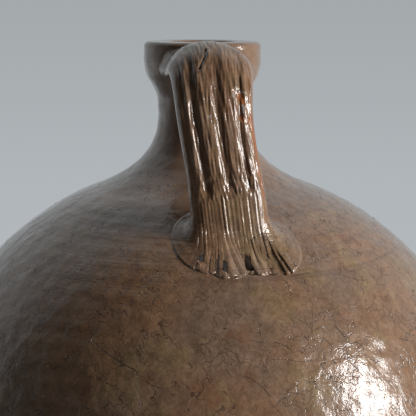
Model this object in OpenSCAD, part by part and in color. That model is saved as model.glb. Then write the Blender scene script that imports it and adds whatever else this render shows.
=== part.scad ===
// Glazed stoneware jug: a big-bellied thrown pot with a short neck, a thick mouth collar
// and a fluted strap handle that runs from the collar down to the shoulder.
// The pot is thrown in sections that are luted together while the clay is soft.
// Units are millimetres, +Z is up, the origin is the centre of the foot on the floor,
// and the handle is on the -Y side.

/* [Body] */
// Largest outer radius of the belly
belly_r = 148; // [135:1:165]
// Height of the widest ring above the floor
belly_z = 186; // [165:1:210]
// Length of the curve's upright tangent below the widest ring
belly_pull = 98; // [80:1:115]
// Outer radius of the foot
foot_r = 88; // [75:1:100]
// Height of the straight pull with which the wall leaves the foot
foot_pull = 52; // [38:1:65]
// How far the wall leans out over that pull
foot_lean = 28; // [18:1:34]
// Bevel at the edge of the foot
foot_bevel = 2.5; // [1:0.5:5]
// Height of the shoulder's ellipse above the widest ring
shoulder_rise = 141; // [130:0.5:155]
// Thickness of the thrown wall
wall = 8; // [6:0.5:9.5]
// Thickness of the floor disc
floor_t = 10; // [7:0.5:14]

/* [Neck] */
// Radius at which the shoulder turns up into the neck
flare_r = 55; // [50:1:62]
// Length of the shoulder's tangent where it turns up
flare_pull = 35; // [28:0.5:40]
// Outer radius at the neck's waist
neck_r = 23; // [22:0.25:26]
// Length of the upright tangent below the waist
waist_pull = 6; // [4:0.5:10]
// Height of the waist above the start of the flare
neck_rise = 37; // [33:0.5:44]
// Height of the joint between shoulder and neck above the start of the flare
neck_joint_rise = 10; // [7:0.5:13]
// Radius of the passage through the neck
passage_r = 16.5; // [15.5:0.25:17.5]
// Length of the tangents inside the flare
passage_pull = 28; // [20:0.5:30]

/* [Mouth collar] */
// Largest outer radius of the collar
collar_r = 29.75; // [28:0.25:33]
// Height from the neck's waist to the rim
collar_rise = 36; // [33:0.5:40]
// Height of the collar's upright band below the rim
collar_band = 9.5; // [7:0.5:12]
// Height of the waist's upright stretch below the collar
waist_band = 3.5; // [2:0.5:6]
// Length of the tangents of the curve between collar and waist
cove_pull = 11; // [8:0.5:12]
// Height of the joint between neck and collar below the rim
collar_joint_drop = 25; // [23:0.5:27]
// Radius of the mouth that takes a stopper
mouth_r = 15; // [13:0.25:15.5]
// Rounding of the rim's outer and inner edges
rim_round = 3; // [1.5:0.25:4]

/* [Handle strap] */
// Reach of the strap's middle line from the jug's axis, along the grip
strap_reach = 77; // [70:0.5:90]
// Depth below the rim at which the grip is straight
grip_drop = 56; // [50:0.5:62]
// How far the strap leans out from there to its straight end on the shoulder
root_lean = 1.5; // [0:0.25:4]
// Level stretch of the strap between the collar's coil and the arch
level_run = 1.25; // [0.5:0.25:4]
// Depth of the strap's middle line below the rim at the collar
strap_top_drop = 5.4; // [5.2:0.1:8]
// Length of the pull that lifts the strap out of the collar
arch_out = 26; // [20:0.5:32]
// Climb of the strap over that length
arch_climb = 8.5; // [4:0.5:10]
// Length of the pull that turns the strap down
arch_down = 32; // [24:0.5:36]
// Thickness of the strap at its middle
strap_t = 11; // [8:0.5:13]
// Width of the strap at the collar
strap_w_top = 40; // [34:0.5:43]
// Width of the strap along its grip
strap_w_grip = 33.5; // [28:0.5:38]
// Width of the strap at the shoulder
strap_w_root = 35; // [28:0.5:40]
// Depth by which the strap's edges wrap back round the collar
strap_wrap = 8.5; // [5:0.5:9]
// Depth by which the strap's edges turn back along the grip
strap_bow = 2; // [1:0.25:3]
// Depth of the finger-pulled flutes
flute_depth = 1; // [0.3:0.1:1.4]
// Half width of a flute
flute_half = 4; // [2.5:0.25:4.5]
// Sideways place of the strap at the collar
strap_top_shift = -2.7; // [-5:0.1:5]
// Sideways place of the strap at the end of its lean
strap_root_shift = 3.6; // [-5:0.1:5]
// Depth below the rim at which the sideways lean starts
lean_from = 22; // [10:1:30]
// Depth below the rim at which it would end
lean_to = 84; // [70:1:95]

/* [Joints and coils] */
// Height of the belly joint above the widest ring
belly_joint_rise = 8; // [3:1:20]
// Height of the ridge that keys each joint
key_h = 2.5; // [1:0.5:3]
// Width of that ridge at its foot
key_w = 4; // [2:0.5:4.5]
// Half the height of the coil pressed inside the belly joint
belly_coil_half = 8; // [5:0.5:11]
// Thickness of that coil
belly_coil_t = 4; // [2:0.5:6]
// Reach of the coil pressed into the corner between floor and wall
floor_coil = 10; // [6:0.5:14]
// Reach of the coil worked round the strap's upper end
upper_coil = 5; // [3:0.5:6]
// Reach of the coil worked round the strap's lower end
lower_coil = 10; // [6:0.5:12]
// Thickness of a coil's worked edge
coil_lip = 0.35; // [0.2:0.05:0.6]
// Clearance between the pot and what is pressed on it
slip = 0.05; // [0.02:0.01:0.1]

/* [Hidden] */
$fn = 96;

glaze_light = [0.60, 0.46, 0.35];
glaze_mid = [0.54, 0.39, 0.28];
glaze_dark = [0.42, 0.29, 0.20];
raw_clay = [0.66, 0.50, 0.38];

// Heights that follow from the sizes above
flare_z = belly_z + shoulder_rise * sqrt(1 - pow(flare_r / belly_r, 2));
waist_z = flare_z + neck_rise;
rim_z = waist_z + collar_rise;
belly_joint_z = belly_z + belly_joint_rise;
neck_joint_z = flare_z + neck_joint_rise;
collar_joint_z = rim_z - collar_joint_drop;

wall_steps = 26; // points along each long curve of the wall
flare_steps = 14; // points along each curve of the neck
round_steps = 6; // points along each rounded edge
joint_steps = 3; // points along each short stretch beside a joint
blend_start = 0.1; // where a flare's curve goes on from the shoulder's last point

// Cubic curve through p0 and p3, in the plane or in space
function bezier(p0, p1, p2, p3, t) =
    pow(1 - t, 3) * p0 + 3 * pow(1 - t, 2) * t * p1 + 3 * (1 - t) * t * t * p2 + pow(t, 3) * p3;

function unit(v) = v / norm(v);

// Points along a curve from t0 to t1
function trace(curve, t0, t1, steps) = [for (i = [0:steps]) curve(t0 + (t1 - t0) * i / steps)];

// Where a curve that climbs with t passes height z
function find_t(curve, z, lo = 0, hi = 1, n = 30) =
    n == 0 ? (lo + hi) / 2
    : let (mid = (lo + hi) / 2)
    curve(mid)[1] > z ? find_t(curve, z, lo, mid, n - 1) : find_t(curve, z, mid, hi, n - 1);

function arc(c, r, a0, a1, steps = round_steps) =
    [for (i = [0:steps]) let (a = a0 + (a1 - a0) * i / steps) c + r * [cos(a), sin(a)]];

function backwards(pts) = [for (i = [len(pts) - 1:-1:0]) pts[i]];

// Blend from a to b while x goes from x0 to x1
function ramp(x, x0, x1, a, b) =
    let (t = min(1, max(0, (x - x0) / (x1 - x0)))) a + (b - a) * t * t * (3 - 2 * t);

// Lower wall from the foot up to the widest ring, inset from the outside
function lower_line(t) =
    bezier([foot_r, 0], [foot_r + foot_lean, foot_pull], [belly_r, belly_z - belly_pull], [belly_r, belly_z], t);
function lower_wall(inset) = function (t)
    let (h = 0.001, d = unit(lower_line(t + h) - lower_line(t - h))) lower_line(t) + inset * [-d[1], d[0]];
lower_out = lower_wall(0);
lower_in = lower_wall(wall);
lower_end = 0.98; // where the lower wall hands over to the shoulder's ellipse

// Shoulder above the widest ring, as radius for a height and height for a radius
function shoulder_r(z, inset) =
    (belly_r - inset) * sqrt(1 - pow((z - belly_z) / (shoulder_rise - inset), 2));
function shoulder_z(r, inset) =
    belly_z + (shoulder_rise - inset) * sqrt(1 - pow(r / (belly_r - inset), 2));

// Radius of either wall skin at height z
function wall_r(z, inset) =
    z > belly_z ? shoulder_r(z, inset) : let (skin = lower_wall(inset)) skin(find_t(skin, z))[0];

// Direction of the shoulder going inwards and up at radius r
function shoulder_dir(r, inset) =
    unit([-1, (shoulder_rise - inset) * r / pow(belly_r - inset, 2)
        / sqrt(1 - pow(r / (belly_r - inset), 2))]);

// The shoulder from height z0 to z1, with its points at even angles of its ellipse
function shoulder_skin(z0, z1, inset, steps = wall_steps) =
    let (rise = shoulder_rise - inset, a0 = asin((z0 - belly_z) / rise), a1 = asin((z1 - belly_z) / rise))
    [for (i = [0:steps])
        let (a = a0 + (a1 - a0) * i / steps) [(belly_r - inset) * cos(a), belly_z + rise * sin(a)]];

// The flare from the shoulder up to the waist, outside and inside
flare_dir = shoulder_dir(flare_r, 0);
flare_out = function (t)
    let (p0 = [flare_r, flare_z], p3 = [neck_r, waist_z])
    bezier(p0, p0 + flare_pull * flare_dir, p3 - [0, waist_pull], p3, t);
flare_in_r = flare_r - wall * flare_dir[1];
flare_in = function (t)
    let (p0 = [flare_in_r, shoulder_z(flare_in_r, wall)], p3 = [passage_r, waist_z - wall])
    bezier(p0, p0 + passage_pull * shoulder_dir(flare_in_r, wall), p3 - [0, waist_pull], p3, t);

// The outside from the waist up to the collar's band
cove = function (t)
    let (p0 = [neck_r, waist_z + waist_band], p3 = [collar_r, rim_z - collar_band])
    bezier(p0, p0 + [0, cove_pull], p3 - [0, cove_pull], p3, t);

// Radius of the collar's outside at height z
function collar_at(z) =
    z > rim_z - rim_round
        ? collar_r - rim_round + sqrt(max(0, rim_round * rim_round - pow(z - rim_z + rim_round, 2)))
    : z > rim_z - collar_band ? collar_r
    : cove(find_t(cove, z))[0];

// The ridge that keys a joint, from its outer edge inwards, in the middle of the wall
function key_ridge(r_in, r_out, z) =
    let (mid = (r_in + r_out) / 2) [[mid + key_w / 2, z], [mid, z + key_h], [mid - key_w / 2, z]];

// Places where the wall is jointed
t_floor_out = find_t(lower_out, floor_t);
t_floor_in = find_t(lower_in, floor_t);
t_neck_out = find_t(flare_out, neck_joint_z);
t_neck_in = find_t(flare_in, neck_joint_z);
t_collar = find_t(cove, collar_joint_z);
belly_key = key_ridge(shoulder_r(belly_joint_z, wall), shoulder_r(belly_joint_z, 0), belly_joint_z);
neck_key = key_ridge(flare_in(t_neck_in)[0], flare_out(t_neck_out)[0], neck_joint_z);
collar_key = key_ridge(passage_r, cove(t_collar)[0], collar_joint_z);

module turned(outline) {
    rotate_extrude() polygon(outline);
}

module floor_disc() {
    t_bevel = find_t(lower_out, foot_bevel);
    color(raw_clay)
        turned(concat(
            [[0, 0], [foot_r - foot_bevel, 0]],
            trace(lower_out, t_bevel, t_floor_out, joint_steps),
            [[0, floor_t]]));
}

// Lower half of the belly, with the ridge of the belly joint on its top edge
module lower_body() {
    color(glaze_mid)
        turned(concat(
            trace(lower_out, t_floor_out, lower_end, wall_steps),
            shoulder_skin(belly_z, belly_joint_z, 0, joint_steps),
            belly_key,
            shoulder_skin(belly_joint_z, belly_z, wall, joint_steps),
            trace(lower_in, lower_end, t_floor_in, wall_steps)));
}

// Upper half of the belly and the shoulder, up to the start of the neck
module upper_body() {
    in_top = flare_in(0)[1];
    color(glaze_light)
        turned(concat(
            shoulder_skin(belly_joint_z, flare_z, 0),
            trace(flare_out, blend_start, t_neck_out, flare_steps),
            neck_key,
            trace(flare_in, t_neck_in, blend_start, flare_steps),
            shoulder_skin(in_top, belly_joint_z, wall),
            backwards(belly_key)));
}

module neck() {
    color(glaze_dark)
        turned(concat(
            backwards(neck_key),
            trace(flare_out, t_neck_out, 1, flare_steps),
            trace(cove, 0, t_collar, flare_steps),
            collar_key,
            [[passage_r, collar_joint_z]],
            trace(flare_in, 1, t_neck_in, flare_steps)));
}

module mouth_collar() {
    color(glaze_dark)
        turned(concat(
            [[mouth_r, collar_joint_z]],
            backwards(collar_key),
            trace(cove, t_collar, 1, flare_steps),
            arc([collar_r - rim_round, rim_z - rim_round], rim_round, 0, 90),
            arc([mouth_r + rim_round, rim_z - rim_round], rim_round, 90, 180)));
}

// The strap's middle line as reach and height: an arch, then a straight drop
arch_share = 0.75; // share of the strap's rings that lie on the arch
arch_from = [collar_r + upper_coil + level_run, rim_z - strap_top_drop];
arch_to = [strap_reach, rim_z - grip_drop];
root_r = strap_reach + root_lean;
root_top = [root_r, shoulder_z(root_r, 0) + lower_coil + strap_t / 2];
grip_dir = unit(root_top - arch_to);
function strap_line(q) = q < arch_share
    ? bezier(arch_from, arch_from + [arch_out, arch_climb], arch_to - arch_down * grip_dir, arch_to,
        q / arch_share)
    : arch_to + (root_top - arch_to) * (q - arch_share) / (1 - arch_share);
function strap_point(q) =
    let (p = strap_line(q))
    [ramp(rim_z - p[1], lean_from, lean_to, strap_top_shift, strap_root_shift), -p[0], p[1]];

// Unit directions along the strap, out of its face, and across it
function strap_along(q) =
    let (h = 0.01) unit(strap_point(min(1, q + h)) - strap_point(max(0, q - h)));
function strap_out(q) = unit(cross(strap_along(q), [1, 0, 0]));
function strap_across(q) = cross(strap_out(q), strap_along(q));

function strap_w(q) = q < arch_share ? ramp(q, 0.1, 0.7, strap_w_top, strap_w_grip)
    : ramp(q, arch_share, 1, strap_w_grip, strap_w_root);
function strap_wrap_at(q) = ramp(q, 0.05, 0.5, strap_wrap, strap_bow);
function flute_at(q) = ramp(q, 0.15, 0.45, 0, 1) * ramp(q, 0.8, 1, 1, 0);

// One section of the strap: a slab with round edges and three flutes in its outer face.
// Its points run across the outer face and back across the inner one, in facing pairs.
strap_columns = 26;
strap_rings = 28;
section_n = 2 * strap_columns;
edge_power = 6; // how squarely the section fills its corners
flutes = [-0.56, 0.06, 0.62]; // places of the flutes as shares of the half width
function flute_cut(x, q) =
    flute_depth * flute_at(q) * max([for (f = flutes)
        let (d = min(1, abs(x - f * strap_w(q) / 2) / flute_half)) (1 + cos(180 * d)) / 2]);
function section_point(j, q) =
    let (s = 1 - 2 * (j <= strap_columns ? j : section_n - j) / strap_columns,
        u = s * (1.5 - 0.5 * s * s), x = u * strap_w(q) / 2,
        half = strap_t / 2 * sqrt(1 - pow(abs(u), edge_power)),
        v = j <= strap_columns ? half - flute_cut(x, q) * half * 2 / strap_t : -half)
    [x, v - strap_wrap_at(q) * u * u];
function strap_ring(q) =
    let (c = strap_point(q), out = strap_out(q), across = strap_across(q))
    [for (j = [0:section_n - 1]) let (p = section_point(j, q)) c + p[0] * across + p[1] * out];

// Outward direction across the section's skin at point j
function section_side(j, q) =
    let (a = section_point((j + section_n - 1) % section_n, q), b = section_point((j + 1) % section_n, q),
        d = unit(b - a))
    d[1] * strap_across(q) - d[0] * strap_out(q);

// A point moved level towards the jug until it meets the collar
function onto_collar(p) =
    let (r = collar_at(p[2]) + slip) [p[0], -sqrt(r * r - p[0] * p[0]), p[2]];

// The point that lies reach further on along the collar's side, in the direction side
function along_collar(p, side, reach) =
    let (z = p[2] + reach * side[2], r = collar_at(z) + slip,
        a = asin(p[0] / (collar_at(p[2]) + slip)) + reach * side[0] / r * 180 / PI)
    [r * sin(a), -r * cos(a), z];

// A point moved along the strap's last stretch until it meets the shoulder
root_dir = strap_along(1);
function onto_shoulder(p) =
    let (k = [1 / (belly_r + slip), 1 / (belly_r + slip), 1 / (shoulder_rise + slip)],
        c = [0, 0, belly_z],
        e = [for (i = [0:2]) (p[i] - c[i]) * k[i]],
        d = [for (i = [0:2]) root_dir[i] * k[i]],
        a = d * d, b = e * d)
    p + (-b - sqrt(b * b - a * (e * e - 1))) / a * root_dir;

// End of the strap that follows the pot: a grid of points between the facing pairs of its ring
cap_rows = 5;
function cap_inner(ring, place) =
    [for (i = [1:strap_columns - 1], k = [1:cap_rows - 1])
        place(ring[i] + (ring[section_n - i] - ring[i]) * k / cap_rows)];
function cap_index(i, k, ring_base, inner_base) =
    i == 0 ? ring_base
    : i == strap_columns ? ring_base + strap_columns
    : k == 0 ? ring_base + i
    : k == cap_rows ? ring_base + section_n - i
    : inner_base + (i - 1) * (cap_rows - 1) + k - 1;
function cap_faces(ring_base, inner_base, flip) = [
    for (i = [0:strap_columns - 1], k = [0:cap_rows - 1])
        let (a = cap_index(i, k, ring_base, inner_base), b = cap_index(i + 1, k, ring_base, inner_base),
            c = cap_index(i + 1, k + 1, ring_base, inner_base), d = cap_index(i, k + 1, ring_base, inner_base))
        each [if (b != c) flip ? [a, b, c] : [a, c, b], if (a != d) flip ? [a, c, d] : [a, d, c]]
];

// Side faces through rings of n points each; a looped row of rings runs from the last to the first
function side_faces(ring_count, n, looped = false) = [
    for (i = [0:looped ? ring_count - 1 : ring_count - 2], j = [0:n - 1])
        let (i2 = (i + 1) % ring_count, j2 = (j + 1) % n,
            a = i * n + j, b = i * n + j2, c = i2 * n + j2, d = i2 * n + j)
        each [[d, b, a], [d, c, b]]
];

module strap_handle() {
    top_ring = [for (p = strap_ring(0)) onto_collar(p)];
    root_ring = [for (p = strap_ring(1)) onto_shoulder(p)];
    rings = concat([top_ring], [for (i = [0:strap_rings]) strap_ring(i / strap_rings)], [root_ring]);
    top_inner = cap_inner(top_ring, function (p) onto_collar(p));
    root_inner = cap_inner(root_ring, function (p) onto_shoulder(p));
    ring_points = [for (ring = rings) each ring];
    last_base = (len(rings) - 1) * section_n;
    inner_base = len(ring_points);
    color(glaze_mid)
        polyhedron(
            points = concat(ring_points, top_inner, root_inner),
            faces = concat(
                side_faces(len(rings), section_n),
                cap_faces(0, inner_base, true),
                cap_faces(last_base, inner_base + len(top_inner), false)));
}

// A coil is pressed into a corner and worked to a hollow, seen here as reach and height:
// the corner, along the pot, up over the worked edge, the hollow, and back to the corner.
coil_arc = 5;
function coil_section(size) = concat(
    [[0, 0], [size / 2, 0], [size, 0]],
    [for (i = [0:coil_arc]) let (a = 90 - 90 * i / coil_arc)
        [coil_lip + (size - coil_lip) * (1 - cos(a)), coil_lip + (size - coil_lip) * (1 - sin(a))]],
    [[0, size]]);
coil_n = len(coil_section(1));

// Skin of a coil through its sections, looped into a ring or ended by two faces
module coil_body(sections, looped) {
    n = len(sections);
    last = (n - 1) * coil_n;
    ends = [for (k = [1:coil_n - 2]) each [[0, k, k + 1], [last, last + k + 1, last + k]]];
    polyhedron(
        points = [for (s = sections) each s],
        faces = concat(side_faces(n, coil_n, looped), looped ? [] : ends));
}

// The lower coil goes all the way round the strap, on the shoulder
module lower_handle_coil() {
    foot = strap_ring(1);
    color(glaze_light)
        coil_body([for (j = [0:section_n - 1]) let (side = section_side(j, 1))
            [for (s = coil_section(lower_coil)) onto_shoulder(foot[j] + s[0] * side) - s[1] * root_dir]],
            true);
}

// The upper coil goes round the strap's edges and underside, on the collar's side
module upper_handle_coil() {
    foot = strap_ring(0);
    past_edge = 3; // it ends this many points beyond each edge
    first = strap_columns - past_edge;
    last = section_n + past_edge;
    color(glaze_dark)
        coil_body([for (j = [last:-1:first])
            let (i = j % section_n, size = upper_coil * ramp(min(j - first, last - j), 0, 5, 0.4, 1))
            [for (s = coil_section(size)) along_collar(foot[i], section_side(i, 0), s[0]) - [0, s[1], 0]]],
            false);
}

// Low coil pressed over the belly joint, inside the pot
module belly_joint_coil() {
    angles = [for (i = [0:2 * round_steps]) 90 * (i / round_steps - 1)];
    heights = [for (a = angles) belly_joint_z + belly_coil_half * sin(a)];
    back = [for (z = heights) [wall_r(z, wall + slip), z]];
    face = [for (i = [1:2 * round_steps - 1]) back[i] - [belly_coil_t * cos(angles[i]), 0]];
    color(raw_clay)
        turned(concat(back, backwards(face)));
}

// Coil pressed into the corner between floor and wall, and worked to a hollow
module floor_joint_coil() {
    skin = lower_wall(wall + slip);
    t_toe = find_t(skin, floor_t);
    t_top = find_t(skin, floor_t + floor_coil);
    top = skin(t_top);
    wall_dir = unit(top - skin(t_toe));
    toe = skin(t_toe) - [floor_coil, 0];
    pull = floor_coil / 2;
    hollow = function (t) bezier(top, top - pull * wall_dir, toe + [pull, 0], toe, t);
    color(raw_clay)
        turned(concat(trace(skin, t_toe, t_top, joint_steps), trace(hollow, 1 / wall_steps, 1, round_steps)));
}

floor_disc();
lower_body();
upper_body();
neck();
mouth_collar();
strap_handle();
upper_handle_coil();
lower_handle_coil();
belly_joint_coil();
floor_joint_coil();
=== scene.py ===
"""Glazed stoneware jug: a big-bellied thrown pot, a thick mouth collar and a fluted strap handle.

Every length is in metres. +Z is up, the origin is the centre of the foot on the floor, and the
handle is on the -Y side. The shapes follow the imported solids, with the marks of the hand added.
"""

import math

import bpy
import numpy as np
from bpy.props import FloatProperty, FloatVectorProperty, PointerProperty
from mathutils import Euler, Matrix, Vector
from mathutils.bvhtree import BVHTree


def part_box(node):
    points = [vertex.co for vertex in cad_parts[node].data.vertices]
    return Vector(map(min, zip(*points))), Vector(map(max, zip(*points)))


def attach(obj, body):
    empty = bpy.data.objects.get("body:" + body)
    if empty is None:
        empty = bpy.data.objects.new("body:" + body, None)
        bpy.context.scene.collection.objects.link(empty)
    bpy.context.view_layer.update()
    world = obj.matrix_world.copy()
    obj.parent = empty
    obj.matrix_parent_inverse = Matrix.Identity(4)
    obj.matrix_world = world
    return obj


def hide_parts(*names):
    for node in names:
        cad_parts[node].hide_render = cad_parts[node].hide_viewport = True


bl_info = {
    "name": "Glazed stoneware jug",
    "version": (1, 0, 0),
    "blender": (4, 5, 0),
    "location": "View3D > Sidebar > Jug",
    "description": "Builds a thrown stoneware jug with its strap handle, coils and crazed glaze",
    "category": "Add Mesh",
}

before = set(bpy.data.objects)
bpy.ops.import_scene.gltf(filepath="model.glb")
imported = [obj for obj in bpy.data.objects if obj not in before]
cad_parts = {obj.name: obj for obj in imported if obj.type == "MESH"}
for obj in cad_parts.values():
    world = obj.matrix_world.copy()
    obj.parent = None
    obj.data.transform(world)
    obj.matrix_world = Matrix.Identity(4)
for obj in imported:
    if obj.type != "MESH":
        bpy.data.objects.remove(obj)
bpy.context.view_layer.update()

PHOTO_SIDE = 416
MM = 0.001
# Distance of the extra ring of points beside a joint, and the gap that keeps a coil clear of its wall
JOINT_RING = 0.00015
COIL_GAP = 0.00006
# Size of the coil in the floor's corner, and the half height and thickness of the coil on the belly joint
FLOOR_COIL = 0.010
BELLY_COIL_HALF = 0.008
BELLY_COIL_THICK = 0.004

# Cracks in the glaze, each as the points of its line in the photograph and its full width in millimetres
CRACKS = {
    "right_upper": (((332, 323), (344, 336), (349, 344)), 0.50),
    "right_middle": (((347, 346), (349, 344), (356.5, 342), (362, 346), (365, 354), (367.5, 357)), 0.42),
    "right_lower": (((365, 357), (367.5, 357), (374, 360.5), (380, 364), (380, 369)), 0.60),
    "left_rising": (((101, 323), (92, 338), (80, 350), (66, 361)), 0.55),
    "left_falling": (((92, 340), (105, 352), (119, 362), (136, 371), (137, 381)), 0.50),
    "left_branch": (((140, 378), (153, 386), (170, 391)), 0.34),
    "left_drop": (((137, 381), (139, 398), (140, 418)), 0.22),
    "left_rim_upper": (((85, 262), (75, 274), (63, 279), (51, 289), (48, 302)), 0.30),
    "left_rim_lower": (((25, 308), (33, 314), (41, 321), (41, 327)), 0.45),
    "left_top": (((116, 302), (121, 304), (129, 304)), 0.50),
    "left_stem": (((125, 304), (125, 311), (129, 320)), 0.45),
    "shoulder_tick": (((139, 186), (141, 188), (144, 192)), 0.75),
    "right_tick": (((304, 336), (309, 340.5)), 0.75),
    "low_tick": (((332, 360), (336.5, 364)), 0.70),
    "middle_tick": (((221, 328), (228, 329)), 0.60),
    "middle_line": (((247, 340), (257, 342), (275, 342), (289, 348), (296, 357)), 0.38),
    "far_right_tick": (((398, 338), (409, 341)), 0.60),
    "right_high": (((286, 277), (298, 275), (310, 273)), 0.45),
    "right_high_branch": (((333, 272), (345, 276), (357, 280), (369, 280)), 0.34),
    "low_curve": (((239, 375), (250, 378), (261, 386), (271, 397), (279, 400)), 0.40),
    "low_fork": (((275, 406), (280, 400), (287, 397), (293, 394)), 0.50),
    "low_edge": (((409, 400), (416, 407)), 0.60),
    "left_short": (((187, 362), (193, 368)), 0.60),
    "left_short_low": (((184, 384), (191, 391)), 0.50),
    "bottom_left": (((80, 405), (88, 409), (93, 409)), 0.60),
    "fine_web_a": (((267, 360), (282, 359), (300, 362), (318, 360)), 0.26),
    "fine_web_b": (((262, 382), (267, 360), (272, 345)), 0.24),
    "fine_web_c": (((309, 340), (305, 350), (298, 356)), 0.30),
    "fine_web_d": (((313, 338), (324, 338), (332, 346), (330, 356)), 0.26),
    "fine_web_e": (((312, 300), (312, 338)), 0.22),
    "fine_web_f": (((290, 315), (305, 323), (313, 330), (325, 326)), 0.28),
}

# Round marks on the glaze, each as its place in the photograph and its radius in millimetres
PITS = {
    "under_root": ((200, 278), 0.55),
    "right_high": ((338.6, 222), 0.60),
    "right_middle": ((276.6, 291), 0.55),
    "right_low": ((324, 325), 0.60),
    "left_middle": ((118, 353), 0.60),
    "left_low": ((78, 371), 0.50),
    "left_low_twin": ((68, 370.5), 0.50),
    "far_right": ((388, 346), 0.60),
    "upper_right": ((341, 305), 0.45),
    "upper_right_twin": ((357, 305), 0.45),
    "right_dot": ((375, 289), 0.45),
    "low_middle": ((268, 361), 0.60),
    "highlight_dot": ((337, 384), 0.60),
    "left_edge": ((54, 261), 0.50),
    "left_edge_high": ((24, 233), 0.75),
}
BEADS = {
    "under_root": ((235, 272.5), 1.30),
    "right_of_root": ((322.5, 260.5), 0.75),
    "right_low": ((307.8, 306), 0.70),
    "right_low_twin": ((285.5, 310.5), 0.65),
    "centre": ((215, 302), 0.70),
    "low_left": ((154.5, 380), 0.70),
    "low_left_twin": ((143, 404), 0.60),
    "low_middle": ((274, 372), 0.65),
    "low_middle_twin": ((232.5, 364.5), 0.65),
}

# Marks on the strap: ends of each in the photograph, half width in millimetres, depth in millimetres
BARE_MARKS = {
    "upper_chip": (((235, 92), (240, 96)), 1.3, 0.30),
    "orange_chip": (((241.5, 99), (242.5, 102)), 1.5, 0.35),
    "lower_orange_chip": (((242, 118), (246, 121)), 1.3, 0.25),
    "worn_edge_upper": (((250, 117), (255, 141)), 1.1, 0.15),
    "worn_edge_lower": (((255, 141), (258.5, 165)), 0.8, 0.12),
    "worn_root_edge": (((259, 170), (264, 196)), 0.6, 0.08),
}
PALE_MARKS = {
    "upper_flake": (((233.5, 96), (236, 91.5)), 0.9, 0.10),
    "side_flake": (((240, 92.5), (246, 93)), 0.5, 0.05),
    "lower_flake": (((243, 105.5), (243.5, 112)), 0.7, 0.10),
    "small_flake": (((209.5, 117.5), (210.5, 116)), 0.6, 0.05),
    "scratch": (((246, 114), (246.5, 126)), 0.35, 0.05),
}
TEAR = ((208, 40), (205.5, 50), (205, 56), (202, 62), (199.5, 69))


class PotSizes(bpy.types.PropertyGroup):
    """Sizes of the thrown pot."""

    belly_r: FloatProperty(name="Belly radius", description="Largest outer radius",
                           default=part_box("lower_body")[1].x, unit="LENGTH")
    belly_z: FloatProperty(name="Widest ring", description="Height of the widest ring",
                           default=0.186, unit="LENGTH")
    belly_pull: FloatProperty(name="Belly pull", description="Upright tangent below the widest ring",
                              default=0.098, unit="LENGTH")
    foot_r: FloatProperty(name="Foot radius", description="Outer radius of the foot",
                          default=0.088, unit="LENGTH")
    foot_pull: FloatProperty(name="Foot pull", description="Height of the pull above the foot",
                             default=0.052, unit="LENGTH")
    foot_lean: FloatProperty(name="Foot lean", description="Outward lean over the foot's pull",
                             default=0.028, unit="LENGTH")
    foot_bevel: FloatProperty(name="Foot bevel", description="Bevel at the edge of the foot",
                              default=0.0025, unit="LENGTH")
    shoulder_rise: FloatProperty(name="Shoulder rise", description="Height of the shoulder's ellipse",
                                 default=0.141, unit="LENGTH")
    wall: FloatProperty(name="Wall", description="Thickness of the thrown wall",
                        default=0.008, unit="LENGTH")
    flare_r: FloatProperty(name="Flare radius", description="Radius where the shoulder turns up",
                           default=0.055, unit="LENGTH")
    flare_pull: FloatProperty(name="Flare pull", description="Tangent of the shoulder where it turns up",
                              default=0.035, unit="LENGTH")
    neck_r: FloatProperty(name="Neck radius", description="Outer radius at the neck's waist",
                          default=0.023, unit="LENGTH")
    waist_pull: FloatProperty(name="Waist pull", description="Upright tangent below the waist",
                              default=0.006, unit="LENGTH")
    neck_rise: FloatProperty(name="Neck rise", description="Height of the waist above the flare",
                             default=0.037, unit="LENGTH")
    passage_r: FloatProperty(name="Passage radius", description="Radius of the passage in the neck",
                             default=0.0165, unit="LENGTH")
    passage_pull: FloatProperty(name="Passage pull", description="Tangents inside the flare",
                                default=0.028, unit="LENGTH")
    waist_band: FloatProperty(name="Waist band", description="Upright stretch above the waist",
                              default=0.0035, unit="LENGTH")
    cove_pull: FloatProperty(name="Cove pull", description="Tangents between waist and collar",
                             default=0.011, unit="LENGTH")
    collar_r: FloatProperty(name="Collar radius", description="Largest outer radius of the collar",
                            default=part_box("mouth_collar")[1].x, unit="LENGTH")
    collar_band: FloatProperty(name="Collar band", description="Upright band below the rim",
                               default=0.0095, unit="LENGTH")
    mouth_r: FloatProperty(name="Mouth radius", description="Radius of the mouth",
                           default=0.015, unit="LENGTH")
    rim_round: FloatProperty(name="Rim rounding", description="Rounding of the rim's edges",
                             default=0.003, unit="LENGTH")
    key_h: FloatProperty(name="Key height", description="Height of the ridge that keys a joint",
                         default=0.0025, unit="LENGTH")
    key_w: FloatProperty(name="Key width", description="Width of that ridge at its foot",
                         default=0.004, unit="LENGTH")
    ring_depth: FloatProperty(name="Ring depth", description="Depth of the throwing rings outside",
                              default=0.00022, unit="LENGTH")
    inner_ring_depth: FloatProperty(name="Inner ring depth", description="Depth of the rings inside",
                                    default=0.0008, unit="LENGTH")
    ring_spacing: FloatProperty(name="Ring spacing", description="Distance between throwing rings",
                                default=0.0085, unit="LENGTH")
    wobble: FloatProperty(name="Wobble", description="Depth of the uneven swells of the wall",
                          default=0.0007, unit="LENGTH")
    neck_drift: FloatProperty(name="Neck drift", description="How far the neck stands off the axis",
                              default=-0.0008, unit="LENGTH")


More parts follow.
